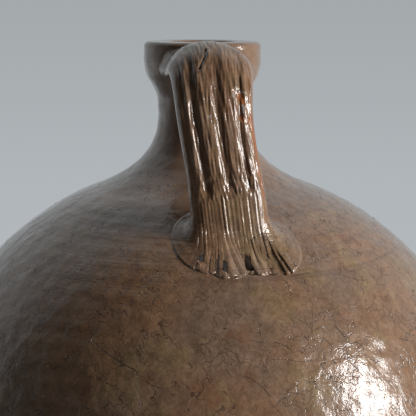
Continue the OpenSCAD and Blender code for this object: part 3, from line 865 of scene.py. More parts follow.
class Strap:
    """The strap handle's middle line, sections and ends."""

    ARCH_SHARE = 0.75
    SHARP = 6
    GROOVES = ((-0.84, 0.45, 1.7), (-0.55, 1.0, 3.0), (0.06, 0.85, 3.3), (0.60, 0.80, 2.2), (0.86, 0.35, 1.6))

    def __init__(self, sizes, pot):
        s = self.sizes = sizes
        self.pot = pot
        p = pot.sizes
        self.start = np.array((p.collar_r + s.upper_coil + s.level_run, pot.rim_z - s.top_drop))
        self.bend = np.array((s.reach, pot.rim_z - s.grip_drop))
        root_r = s.reach + s.root_lean
        solid_coil = 0.010
        shoulder = p.belly_z + p.shoulder_rise * math.sqrt(1 - (root_r / p.belly_r) ** 2)
        self.end = np.array((root_r, shoulder + solid_coil + s.thickness / 2))
        self.grip = unit(self.end - self.bend)
        self.root_dir = self.frame_at(1.0)[1]

    def middle(self, q):
        s = self.sizes
        if q < self.ARCH_SHARE:
            p = bezier(self.start, self.start + (s.arch_out, s.arch_climb),
                       self.bend - s.arch_down * self.grip, self.bend, q / self.ARCH_SHARE)
        else:
            p = self.bend + (self.end - self.bend) * (q - self.ARCH_SHARE) / (1 - self.ARCH_SHARE)
        x = ramp(self.pot.rim_z - p[1], s.lean_from, s.lean_to, s.top_shift, s.root_shift)
        return np.array((float(x), -p[0], p[1]))

    def frame_at(self, q):
        """Middle, direction along, direction out of the face, and direction across."""
        h = 0.01
        along = unit(self.middle(min(1, q + h)) - self.middle(max(0, q - h)))
        out = unit(np.cross(along, (1, 0, 0)))
        return self.middle(q), along, out, np.cross(out, along)

    def width(self, q):
        s = self.sizes
        if q < self.ARCH_SHARE:
            return float(ramp(q, 0.1, 0.7, s.w_top, s.w_grip))
        return float(ramp(q, self.ARCH_SHARE, 1, s.w_grip, s.w_root))

    def section(self, q, around):
        """Points of a section across the outer face and back, as places across and out."""
        s = self.sizes
        half_w, half_t = self.width(q) / 2, s.thickness / 2
        u, outer = around
        x = u * half_w
        edge = np.sqrt(np.clip(1 - np.abs(u) ** self.SHARP, 0, 1))
        v = np.where(outer, half_t - s.skin_inset, -half_t) * edge
        fade = float(ramp(q, 0.13, 0.42, 0, 1) * ramp(q, 0.84, 1.0, 1, 0.12))
        mm = x / MM
        for place, depth, half in self.GROOVES:
            wander = 0.5 * math.sin(7 * q + 9 * place)
            gap = np.clip(np.abs(mm - place * half_w / MM - wander) / half, 0, 1)
            v = v - np.where(outer, depth * s.flute_depth * fade * edge * (1 + np.cos(math.pi * gap)) / 2, 0)
        rise = 60 * q
        drag = swells(mm * 3.4, rise * 0.5, 5, 9) + 0.6 * swells(mm * 1.3, rise * 0.8, 8)
        started = float(ramp(q, 0, 0.2, 0.4, 1))
        v = v + s.streak_depth * edge * np.where(outer, drag - 1.2, 1.2 - 0.8 * drag) * started
        lump = swells(mm * 0.22, rise * 0.45, 11)
        v = v + 0.0003 * edge * np.where(outer, lump - 1, 1 - lump) * 0.5
        bow = ramp(q, 0.05, 0.5, s.wrap, s.bow)
        return x, v - bow * u * u

    def around(self, count):
        """Even places round a section, as shares of the half width and whether they are outside."""
        s = np.linspace(1, -1, 1500)
        u = s * (1.5 - 0.5 * s * s)
        u, outer = np.concatenate([u, u[::-1][1:]]), np.arange(2999) < 1500
        x, v = self.section(0.5, (u, outer))
        length = np.concatenate([[0], np.cumsum(np.hypot(np.diff(x), np.diff(v)))])
        want = np.linspace(0, length[-1], count, endpoint=False)
        index = np.interp(want, length, np.arange(len(u))).round().astype(int)
        return u[index], outer[index]

    def ring(self, q, around):
        centre, _, out, across = self.frame_at(q)
        x, v = self.section(q, around)
        return centre + x[:, None] * across + v[:, None] * out

    def sides(self, ring, along):
        """Outward directions round a ring."""
        tangent = unit(np.roll(ring, -1, axis=0) - np.roll(ring, 1, axis=0))
        side = unit(np.cross(tangent, along))
        flip = np.sign(np.einsum("ij,ij->i", side, ring - ring.mean(axis=0)).sum())
        return side * flip

    def onto_collar(self, points):
        """Points moved level towards the jug until they meet the collar, and its sides there."""
        (flat, side) = self.pot.collar_skin(points[:, 2])
        r = flat[:, 0]
        y = -np.sqrt(np.maximum(r * r - points[:, 0] ** 2, 0))
        at = np.stack([points[:, 0], y, points[:, 2]], axis=1)
        lean = np.stack([points[:, 0] / r * side[:, 0], y / r * side[:, 0], side[:, 1]], axis=1)
        return at, unit(lean)

    def along_collar(self, points, side, reach):
        """Points moved along the collar's surface."""
        moved = points + reach[:, None] * side
        flat, _ = self.pot.collar_skin(points[:, 2])
        low, _ = self.pot.collar_skin(moved[:, 2])
        angle = np.arcsin(np.clip(points[:, 0] / flat[:, 0], -1, 1)) + reach * side[:, 0] / low[:, 0]
        at = np.stack([low[:, 0] * np.sin(angle), -low[:, 0] * np.cos(angle), moved[:, 2]], axis=1)
        return self.onto_collar(at)

    def onto_shoulder(self, points):
        """Points moved along the strap's last stretch until they meet the shoulder, and its sides there."""
        p = self.pot.sizes
        k = np.array((1 / p.belly_r, 1 / p.belly_r, 1 / p.shoulder_rise))
        e, d = (points - (0, 0, p.belly_z)) * k, self.root_dir * k
        a, b = d @ d, e @ d
        step = (-b - np.sqrt(np.maximum(b * b - a * ((e * e).sum(axis=1) - 1), 0))) / a
        at = points + step[:, None] * self.root_dir
        return at, unit((at - (0, 0, p.belly_z)) * k * k)


def fillet(corner, up, side, foot, foot_side, climb, sink, rows=22, tight=0.62, lip=0.0, deep=0.0012):
    """Closed sections of a worked coil: from the strap down a hollow to the pot, and back inside."""
    reach = foot - corner
    level = unit(reach - np.einsum("ij,ij->i", reach, foot_side)[:, None] * foot_side)
    size = np.linalg.norm(reach, axis=1)[:, None]
    climb = climb[:, None]
    top = corner + climb * up - sink * side
    low = foot - sink * foot_side
    t = np.linspace(0, 1, rows)
    pulls = top, top - tight * climb * up, low - tight * size * level, low
    curve = np.stack([bezier_row(*pulls, x) for x in t], axis=1)
    swell = np.exp(-((t - 0.80) / 0.10) ** 2)[None, :, None] * np.asarray(lip).reshape(-1, 1, 1)
    curve = curve + swell * foot_side[:, None, :]
    inner = corner - deep * side - deep * foot_side
    return np.concatenate([curve, (low - deep * foot_side)[:, None], inner[:, None],
                           (top - deep * side)[:, None]], axis=1)


def bezier_row(p0, p1, p2, p3, t):
    return (1 - t) ** 3 * p0 + 3 * (1 - t) ** 2 * t * p1 + 3 * (1 - t) * t * t * p2 + t ** 3 * p3


def glaze_group(look):
    """Crazed and mottled glaze over object coordinates: colour, roughness, and height in millimetres."""
    tree = bpy.data.node_groups.new("Crazed glaze", "ShaderNodeTree")
    for label, kind in (("Vector", "NodeSocketVector"), ("Craze", "NodeSocketFloat")):
        tree.interface.new_socket(label, in_out="INPUT", socket_type=kind)
    for label, kind in (("Colour", "NodeSocketColor"), ("Roughness", "NodeSocketFloat"),
                        ("Height", "NodeSocketFloat")):
        tree.interface.new_socket(label, in_out="OUTPUT", socket_type=kind)
    w = Wiring(tree)
    given = w.node("NodeGroupInput").outputs
    spot = w.scaled(given["Vector"], 1000.0)
    stray = w.vector("SUBTRACT", w.noise(spot, 0.16, 2.0, 0.5, "Color"), (0.5, 0.5, 0.5))
    bent = w.vector("ADD", spot, w.scaled(stray, 5.0))
    loose = w.vector("ADD", spot, w.scaled(stray, 14.0))

    # Broad patches, then mottling, then fine grain
    patch = w.band(w.noise(spot, 0.016, 2.0), 0.38, 0.62)
    colour = w.mix(patch, (*look.honey, 1), (*look.greyed, 1))
    thick = w.band(w.noise(loose, 0.045, 2.0), 0.52, 0.72)
    colour = w.mix(w.math("MULTIPLY", thick, 0.75), colour, (*look.olive, 1))
    thin = w.band(w.noise(bent, 0.062, 3.0), 0.55, 0.78)
    colour = w.mix(w.math("MULTIPLY", thin, 0.7), colour, (*look.rust, 1))
    grain = w.band(w.noise(bent, 0.55, 4.0, 0.65), 0.25, 0.75, 0.80, 1.20)
    cloud = w.band(w.noise(bent, 0.17, 3.0), 0.25, 0.75, 0.86, 1.14)
    tone = w.math("MULTIPLY", grain, cloud)
    colour = w.scaled(colour, tone)

    # Crazing at two scales, each clearer in some places than in others
    cell = look.craze_cell / MM
    line = look.craze_width / MM / cell
    fine = w.band(w.cells(bent, 1 / cell, "DISTANCE_TO_EDGE"), 0.0, line, 1.0, 0.0)
    fine_seen = w.band(w.noise(spot, 0.06, 2.0), 0.40, 0.66, 0.10, 0.85)
    wide = w.band(w.cells(loose, 0.30 / cell, "DISTANCE_TO_EDGE"), 0.0, line * 0.42, 1.0, 0.0)
    wide_seen = w.band(w.noise(spot, 0.11, 3.0), 0.46, 0.60)
    fine = w.math("MULTIPLY", w.math("MULTIPLY", fine, fine_seen), given["Craze"])
    wide = w.math("MULTIPLY", w.math("MULTIPLY", wide, wide_seen), given["Craze"])
    colour = w.mix(w.math("MULTIPLY", fine, 0.62), colour, (*look.craze_line, 1))
    colour = w.mix(w.math("MULTIPLY", wide, 0.80), colour, (*look.craze_line, 1))

    # Pin holes that hold dirt, and painted glints: pale flecks that stand in for light caught on tiny bumps
    # of the glaze
    hole = w.cells(spot, 0.15)
    pick = w.node("ShaderNodeSeparateColor", {0: w.cells(spot, 0.15, output="Color")}).outputs["Red"]
    hole_size = w.band(pick, 0.55, 1.0, 0.0, 0.075)
    pit = w.math("MULTIPLY", w.band(w.math("SUBTRACT", hole, hole_size), -0.025, 0.012, 1.0, 0.0),
                 w.math("GREATER_THAN", pick, 0.62))
    colour = w.mix(w.math("MULTIPLY", pit, 0.85), colour, (*look.stain, 1))
    painted_glint_cell = w.cells(loose, 0.21)
    choice = w.node("ShaderNodeSeparateColor", {0: w.cells(loose, 0.21, output="Color")}).outputs["Green"]
    pale = w.math("MULTIPLY", w.band(painted_glint_cell, 0.03, 0.075, 1.0, 0.0), w.math("GREATER_THAN", choice, 0.72))
    # Painted glints: the pale flecks are mixed over the colour at about half strength
    colour = w.mix(w.math("MULTIPLY", pale, 0.55), colour, (0.60, 0.52, 0.44, 1))

    peel = w.math("MULTIPLY", w.noise(spot, 0.34, 2.5, 0.55), 0.20)
    roll = w.math("MULTIPLY", w.noise(spot, 0.09, 1.0), 0.85)
    prick = w.math("MULTIPLY", w.noise(spot, 1.3, 2.0, 0.6), 0.050)
    height = w.math("ADD", w.math("ADD", peel, roll), prick)
    sunk = w.math("ADD", w.math("MULTIPLY", fine, 0.035),
                  w.math("ADD", w.math("MULTIPLY", wide, 0.07), w.math("MULTIPLY", pit, 0.25)))
    height = w.math("SUBTRACT", height, sunk)
    rough = w.band(w.noise(bent, 0.12, 3.0), 0.3, 0.7, 0.24, 0.40)
    rough = w.math("ADD", rough, w.math("MULTIPLY", w.math("MAXIMUM", pit, wide), 0.35))
    w.node("NodeGroupOutput", {"Colour": colour, "Roughness": rough, "Height": height})
    return tree


def new_material(name):
    material = bpy.data.materials.new(name)
    material.use_nodes = True
    material.node_tree.nodes.clear()
    return material, Wiring(material.node_tree)


def finish_material(w, colour, rough, height, coat=1.0, coat_rough=0.07, bump=1.0):
    """Joins colour, roughness and height in millimetres to a shader with a clear skin."""
    shader = w.node("ShaderNodeBsdfPrincipled", {"Base Color": colour, "Roughness": rough})
    shader.inputs["IOR"].default_value = 1.5
    shader.inputs["Coat Weight"].default_value = coat
    shader.inputs["Coat Roughness"].default_value = coat_rough
    shader.inputs["Coat IOR"].default_value = 1.5
    relief = w.add("ShaderNodeBump", {"Strength": bump, "Distance": MM, "Height": height})
    w.tree.links.new(relief, shader.inputs["Normal"])
    w.tree.links.new(relief, shader.inputs["Coat Normal"])
    w.node("ShaderNodeOutputMaterial", {"Surface": shader.outputs[0]})


def start_glaze(name, group, craze):
    material, w = new_material(name)
    place = w.add("ShaderNodeTexCoord", output="Object")
    skin = w.node("ShaderNodeGroup", node_tree=group)
    w.tree.links.new(place, skin.inputs["Vector"])
    skin.inputs["Craze"].default_value = craze
    return material, w, place, skin.outputs["Colour"], skin.outputs["Roughness"], skin.outputs["Height"]


def body_glaze(group, look):
    """Glaze of the belly and shoulder, with the stained cracks and the bare edge at the foot."""
    material, w, place, colour, rough, height = start_glaze("belly_glaze", group, 1.0)
    side = w.math("ABSOLUTE", w.add("ShaderNodeAttribute", output="Fac", attribute_name="crack_side"))
    near = w.add("ShaderNodeAttribute", output="Fac", attribute_name="crack_near")
    width = w.add("ShaderNodeAttribute", output="Fac", attribute_name="crack_width")
    ragged = w.band(w.noise(w.scaled(place, 1000.0), 0.9, 2.0), 0.3, 0.7, 0.55, 1.2)
    inside = w.math("DIVIDE", side, w.math("MAXIMUM", w.math("MULTIPLY", width, ragged), 1e-6))
    crack = w.math("MULTIPLY", w.band(inside, 0.55, 1.15, 1.0, 0.0), w.math("LESS_THAN", near, 0.0028))
    crack = w.math("MULTIPLY", crack, w.math("GREATER_THAN", width, 0.0))
    crack = w.math("MULTIPLY", crack, w.math("GREATER_THAN", near, 1e-9))
    colour = w.mix(w.math("MULTIPLY", crack, 0.88), colour, (*look.stain, 1))
    height = w.math("SUBTRACT", height, w.math("MULTIPLY", crack, 0.16))

    # Fine turning lines on the shoulder
    parts = w.node("ShaderNodeSeparateXYZ", {0: place}).outputs
    reach = w.add("ShaderNodeVectorMath", {0: w.vector("MULTIPLY", place, (1, 1, 0))}, "Value",
                  operation="LENGTH")
    on_shoulder = w.band(reach, 0.052, 0.075, 0.0, 1.0)
    on_shoulder = w.math("MULTIPLY", on_shoulder, w.band(reach, 0.098, 0.118, 1.0, 0.0))
    on_shoulder = w.math("MULTIPLY", on_shoulder, w.band(parts["Z"], 0.24, 0.27))
    level = w.math("MULTIPLY", parts["Z"], 1000.0)
    wander = w.add("ShaderNodeCombineXYZ", {"X": w.math("MULTIPLY", parts["X"], 9.0),
                                            "Y": w.math("MULTIPLY", parts["Y"], 9.0), "Z": level})
    turning = w.math("MULTIPLY", w.noise(wander, 0.75, 2.0), w.math("MULTIPLY", on_shoulder, 0.22))
    height = w.math("ADD", height, turning)
    lined = w.band(w.noise(wander, 0.60, 2.0), 0.56, 0.70)
    colour = w.mix(w.math("MULTIPLY", w.math("MULTIPLY", lined, on_shoulder), 0.26), colour,
                   (*look.craze_line, 1))

    # The glaze ends above the foot in an uneven line, with a thick edge
    edge = w.math("MULTIPLY_ADD", w.noise(place, 55.0, 2.0), 0.012, look.glaze_line - 0.006)
    bare = w.band(w.math("SUBTRACT", parts["Z"], edge), -0.0006, 0.0004, 1.0, 0.0)
    fleshy = w.band(w.noise(place, 900.0, 3.0), 0.2, 0.8, 0.82, 1.12)
    colour = w.mix(bare, colour, w.scaled((*look.bare_clay,), fleshy))
    rough = w.mix(bare, rough, 0.75, "FLOAT")
    height = w.mix(bare, height, w.math("MULTIPLY", fleshy, 0.2), "FLOAT")
    finish_material(w, colour, rough, height)
    return material


def neck_glaze(group, look):
    """Glaze of the neck and collar: smoother, and a third of the way towards the cooler grey-brown all over.
    """
    material, w, _, colour, rough, height = start_glaze("neck_glaze", group, 0.45)
    cool = w.mix(0.35, colour, (*look.greyed, 1))
    height = w.math("MULTIPLY", height, 0.75)
    finish_material(w, cool, rough, height)
    return material


def handle_glaze(group, look):
    """Glaze of the strap: streaked along its length, thin and orange on worn edges, with its chips, and with
    painted shade in its flutes and on its back.
    """
    material, w, place, colour, rough, height = start_glaze("handle_glaze", group, 0.35)
    sheet = w.add("ShaderNodeUVMap", uv_map="strap")
    long_way = w.vector("MULTIPLY", sheet, (1.0, 0.06, 1.0))
    streak = w.noise(long_way, 55.0, 3.0, 0.6)
    dark = w.band(streak, 0.50, 0.66, 0.0, 0.50)
    colour = w.mix(dark, colour, (0.150, 0.070, 0.034, 1))
    light = w.band(w.noise(long_way, 38.0, 2.0), 0.54, 0.70, 0.0, 0.5)
    colour = w.mix(light, colour, (0.52, 0.335, 0.185, 1))
    # Painted shade: darker down the flute grooves and, more lightly, over the strap's back face that faces
    # the jug
    hollow = w.add("ShaderNodeAttribute", output="Fac", attribute_name="hollow")
    colour = w.mix(w.math("MULTIPLY", hollow, 0.55), colour, (0.13, 0.062, 0.030, 1))
    edge = w.add("ShaderNodeAttribute", output="Fac", attribute_name="edge")
    worn = w.math("MULTIPLY", edge, w.band(w.noise(long_way, 70.0, 3.0), 0.42, 0.62))
    colour = w.mix(w.math("MULTIPLY", worn, 0.55), colour, (0.42, 0.175, 0.060, 1))
    ragged = w.math("MULTIPLY_ADD", w.noise(w.scaled(place, 1000.0), 1.1, 3.0, 0.65), 1.2, -0.6)
    bare = w.add("ShaderNodeAttribute", output="Fac", attribute_name="bare")
    bare = w.band(w.math("ADD", bare, ragged), 0.42, 0.56)
    pale = w.add("ShaderNodeAttribute", output="Fac", attribute_name="pale")
    pale = w.band(w.math("ADD", pale, ragged), 0.40, 0.60)
    tear = w.add("ShaderNodeAttribute", output="Fac", attribute_name="tear")
    colour = w.mix(w.math("MULTIPLY", bare, 0.85), colour, (*look.worn_clay, 1))
    colour = w.mix(w.math("MULTIPLY", pale, 0.75), colour, (0.52, 0.46, 0.43, 1))
    colour = w.mix(w.math("MULTIPLY", w.band(tear, 0.45, 0.85), 0.85), colour, (*look.stain, 1))
    rough = w.math("ADD", rough, w.math("MULTIPLY", w.math("MAXIMUM", bare, pale), 0.3))
    height = w.math("ADD", w.math("MULTIPLY", height, 0.8), w.math("MULTIPLY", streak, 0.22))
    height = w.math("SUBTRACT", height, w.math("MULTIPLY", bare, 0.12))
    finish_material(w, colour, rough, height)
    return material


def bare_clay(look):
    """Fired clay without glaze: grainy, with iron specks and scorched patches."""
    material, w = new_material("bare_clay")
    place = w.add("ShaderNodeTexCoord", output="Object")
    spot = w.scaled(place, 1000.0)
    tone = w.band(w.noise(spot, 0.03, 3.0), 0.3, 0.7)
    colour = w.mix(tone, (*look.bare_clay, 1), (0.36, 0.21, 0.12, 1))
    grain = w.band(w.noise(spot, 1.6, 4.0, 0.7), 0.2, 0.8, 0.80, 1.16)
    colour = w.scaled(colour, grain)
    speck = w.band(w.cells(spot, 0.45), 0.06, 0.13, 1.0, 0.0)
    colour = w.mix(w.math("MULTIPLY", speck, 0.7), colour, (0.06, 0.035, 0.022, 1))
    height = w.math("ADD", w.math("MULTIPLY", w.noise(spot, 1.6, 4.0, 0.7), 0.22),
                    w.math("MULTIPLY", w.noise(spot, 0.25, 2.0), 0.3))
    rough = w.band(w.noise(spot, 0.2, 2.0), 0.3, 0.7, 0.68, 0.86)
    finish_material(w, colour, rough, height, coat=0.0)
    return material


class Workshop:
    """What the operators share: the pot, the strap, the camera's lens, the trees and the finishes."""

    def __init__(self, scene):
        look = scene.jug_glaze
        self.pot = Pot(scene.jug_pot)
        self.strap = Strap(scene.jug_handle, self.pot)
        self.lens = Lens(scene.jug_studio)
        self.turned = turned_tree()
        self.beads = bead_tree()
        group = glaze_group(look)
        self.finish = {"belly_glaze": body_glaze(group, look), "neck_glaze": neck_glaze(group, look),
                       "handle_glaze": handle_glaze(group, look), "bare_clay": bare_clay(look)}

    def turn(self, name, outline, slot, segments, presses=0):
        """A turned piece's mesh from its outline."""
        s = self.pot.sizes
        line = outline.mesh_object(name + "_outline")
        mesh = grown(name, self.turned, {
            "Outline": line, "Segments": segments, "Ring spacing": s.ring_spacing, "Presses": presses,
            "Cut spacing": 0.0042, "Drift": s.neck_drift, "Drift from": 0.285, "Drift to": 0.330,
            "Material": self.finish[slot]})
        bpy.data.objects.remove(line)
        face_outwards(mesh)
        mesh.set_sharp_from_angle(angle=math.radians(42))
        return mesh


_shop = []


def workshop(scene):
    """The shared workshop, set up by the first operator that needs it."""
    if not _shop:
        _shop.append(Workshop(scene))
    return _shop[0]


class JUG_OT_foot(bpy.types.Operator):
    """Adds the foot disc, wire-cut below, and the coil pressed into its corner"""

    bl_idname = "jug.foot"
    bl_label = "Foot disc and floor coil"

    def execute(self, context):
        shop = workshop(context.scene)
        pot, s = shop.pot, shop.pot.sizes
        outside, inside = pot.outside, pot.inside
        top = outside.at_height(pot.floor_z)
        bevel = outside.at_height(s.foot_bevel)
        foot = Outline()
        r = np.linspace(0, s.foot_r - s.foot_bevel, 64)
        foot.add(np.stack([r, 0 * r], axis=1)[:-1], (0, -1), 0, cut=ramp(r[:-1], 0.07, 0.083, 0.0004, 0))
        foot.add_skin(outside, 0, bevel, 0.0008)
        foot.add_skin(outside, bevel, top, 0.001, wobble=s.wobble)
        edge = outside.sample([top])[0][0]
        r = np.linspace(edge[0], 0, 60)
        foot.add(np.stack([r, 0 * r + pot.floor_z], axis=1)[1:], (0, 1), r[1:],
                 ring=ramp(r[1:], 0.068, 0.078, s.inner_ring_depth, 0))
        mesh = shop.turn("wire_cut_foot", foot, "bare_clay", 420)
        place_piece("wire_cut_foot", mesh, "floor_disc")

        coil = Outline()
        start = inside.at_height(pot.floor_z + FLOOR_COIL)
        skin, side = inside.sample(np.linspace(start, inside.length[-1], 8))
        skin = skin + side * COIL_GAP
        toe, head = skin[-1] - (FLOOR_COIL, 0), skin[0]
        lean = unit(skin[0] - skin[-1])
        pull = FLOOR_COIL / 2
        hollow = bezier(toe, toe + (pull, 0), head - pull * lean, head, np.linspace(0, 1, 16))
        tangent = unit(np.gradient(hollow, axis=0))
        face = np.stack([-tangent[:, 1], tangent[:, 0]], axis=1)
        depth = 0.0007 * np.sin(np.linspace(0, math.pi, 16))
        coil.add(hollow[:-1], face[:-1], 0, press=depth[:-1], wobble=depth[:-1])
        coil.add(skin[:-1], (1, 0), 0)
        mesh = shop.turn("pressed_floor_coil", coil, "bare_clay", 480, presses=34)
        place_piece("pressed_floor_coil", mesh, "floor_joint_coil")
        return {"FINISHED"}


class JUG_OT_lower_wall(bpy.types.Operator):
    """Adds the lower half of the belly and the coil pressed over its upper joint"""

    bl_idname = "jug.lower_wall"
    bl_label = "Lower wall and belly coil"

    def execute(self, context):
        shop = workshop(context.scene)
        pot, s = shop.pot, shop.pot.sizes
        outside, inside = pot.outside, pot.inside
        low, high = outside.at_height(pot.floor_z), outside.at_height(pot.belly_joint)
        in_high = inside.at_height(pot.belly_joint)
        wall = Outline()
        wall.add_skin(outside, low, high, 0.0021, ring=s.ring_depth, wobble=s.wobble)
        outer_r, inner_r = outside.sample([high])[0][0, 0], inside.sample([in_high])[0][0, 0]
        wall.add_key(s, outer_r, inner_r, pot.belly_joint)
        wall.add_skin(inside, in_high, inside.length[-1], 0.005, ring=s.inner_ring_depth)
        mesh = shop.turn("glazed_lower_wall", wall, "belly_glaze", 560)
        set_floats(mesh, "outer", outer_share(mesh, pot))
        set_floats(mesh, "crack_near", np.ones(len(mesh.vertices)))
        holder = bpy.data.objects.new("no_named_beads", bpy.data.meshes.new("no_named_beads"))
        bpy.context.scene.collection.objects.link(holder)
        mesh = grown("glazed_lower_wall", shop.beads, {
            "Named beads": holder, "Density": 1600.0, "Smallest": 0.00018, "Largest": 0.0005,
            "Lowest": 0.03, "Seed": 4, "Material": shop.finish["belly_glaze"]}, mesh)
        bpy.data.objects.remove(holder)
        place_piece("glazed_lower_wall", mesh, "lower_body")

        coil = Outline()
        angle = np.radians(np.linspace(90, -90, 19))
        z = pot.belly_joint + BELLY_COIL_HALF * np.sin(angle)
        back, side = inside.sample([inside.at_height(x) for x in z])
        back = back + side * COIL_GAP
        face = back - np.stack([BELLY_COIL_THICK * np.cos(angle), 0 * angle], axis=1)
        facing = np.stack([-np.cos(angle), np.sin(angle)], axis=1)
        crown = np.cos(angle[:-1])
        coil.add(face[:-1], facing[:-1], 0, press=0.0011 * crown, wobble=0.0006 * crown)
        coil.add(back[::-1][:-1], (1, 0), 0)
        mesh = shop.turn("pressed_belly_coil", coil, "bare_clay", 600, presses=52)
        place_piece("pressed_belly_coil", mesh, "belly_joint_coil")
        return {"FINISHED"}


def outer_share(mesh, pot):
    """1 on the points of a turned mesh that lie on the pot's outside, and 0 elsewhere."""
    points = coordinates(mesh)
    r = np.hypot(points[:, 0], points[:, 1])
    top = pot.rim_index()
    skin = np.interp(points[:, 2], pot.outside.points[:top, 1], pot.outside.points[:top, 0])
    return (r > skin - 0.003).astype(float)


class JUG_OT_upper_wall(bpy.types.Operator):
    """Adds the upper half of the belly with its shoulder, cracks and beads of glaze"""

    bl_idname = "jug.upper_wall"
    bl_label = "Upper wall"

    def execute(self, context):
        shop = workshop(context.scene)
        pot, s = shop.pot, shop.pot.sizes
        outside, inside = pot.outside, pot.inside
        low, high = outside.at_height(pot.belly_joint), outside.at_height(pot.neck_joint)
        in_low, in_high = inside.at_height(pot.belly_joint), inside.at_height(pot.neck_joint)
        wall = Outline()
        wall.add_skin(outside, low, high, 0.0019, ring=s.ring_depth, wobble=s.wobble)
        outer, inner = outside.sample([high])[0][0, 0], inside.sample([in_high])[0][0, 0]
        wall.add_key(s, outer, inner, pot.neck_joint)
        wall.add_skin(inside, in_high, in_low, 0.009, ring=s.inner_ring_depth)
        outer, inner = outside.sample([low])[0][0, 0], inside.sample([in_low])[0][0, 0]
        wall.add_key(s, inner, outer, pot.belly_joint)
        mesh = shop.turn("glazed_upper_wall", wall, "belly_glaze", 600)
        tree = surface_tree(mesh)
        mark_cracks(mesh, shop.lens, tree)
        set_floats(mesh, "outer", outer_share(mesh, pot))
        holder = named_beads(shop.lens, tree)
        mesh = grown("glazed_upper_wall", shop.beads, {
            "Named beads": holder, "Density": 2300.0, "Smallest": 0.00018, "Largest": 0.00055,
            "Lowest": 0.0, "Seed": 11, "Material": shop.finish["belly_glaze"]}, mesh)
        bpy.data.objects.remove(holder)
        place_piece("glazed_upper_wall", mesh, "upper_body")
        return {"FINISHED"}


class JUG_OT_neck(bpy.types.Operator):
    """Adds the neck and the mouth collar"""

    bl_idname = "jug.neck"
    bl_label = "Neck and collar"

    def execute(self, context):
        shop = workshop(context.scene)
        pot, s = shop.pot, shop.pot.sizes
        outside, inside = pot.outside, pot.inside
        low, high = outside.at_height(pot.neck_joint), outside.at_height(pot.collar_joint)
        in_low, in_high = inside.at_height(pot.neck_joint), inside.length[0]
        neck = Outline()
        neck.add_skin(outside, low, high, 0.0010, ring=s.ring_depth, wobble=s.wobble)
        outer = outside.sample([high])[0][0, 0]
        neck.add_key(s, outer, s.passage_r, pot.collar_joint)
        neck.add_skin(inside, in_high, in_low, 0.003, ring=s.ring_depth)
        low_outer, low_inner = outside.sample([low])[0][0, 0], inside.sample([in_low])[0][0, 0]
        neck.add_key(s, low_inner, low_outer, pot.neck_joint)
        mesh = shop.turn("glazed_neck", neck, "neck_glaze", 480)
        place_piece("glazed_neck", mesh, "neck")

        collar = Outline()
        end = outside.length[-1]
        lengths = np.linspace(high, end, 90)
        wear = 0.5 * s.wobble * ramp(lengths, high, high + 0.006, 2.0, 1.0)
        lengths = np.concatenate([[high, high + JOINT_RING], lengths[1:-1], [end]])
        wear = np.concatenate([[s.wobble], wear])
        point, side = outside.sample(lengths)
        ring = s.ring_depth * ramp(lengths, end - 0.030, end - 0.020, 1.0, 0.3)
        collar.add(point, side, lengths, ring=ring, wobble=wear)
        collar.add_key(s, s.passage_r, outer, pot.collar_joint)
        mesh = shop.turn("glazed_mouth_collar", collar, "neck_glaze", 480)
        place_piece("glazed_mouth_collar", mesh, "mouth_collar")
        return {"FINISHED"}


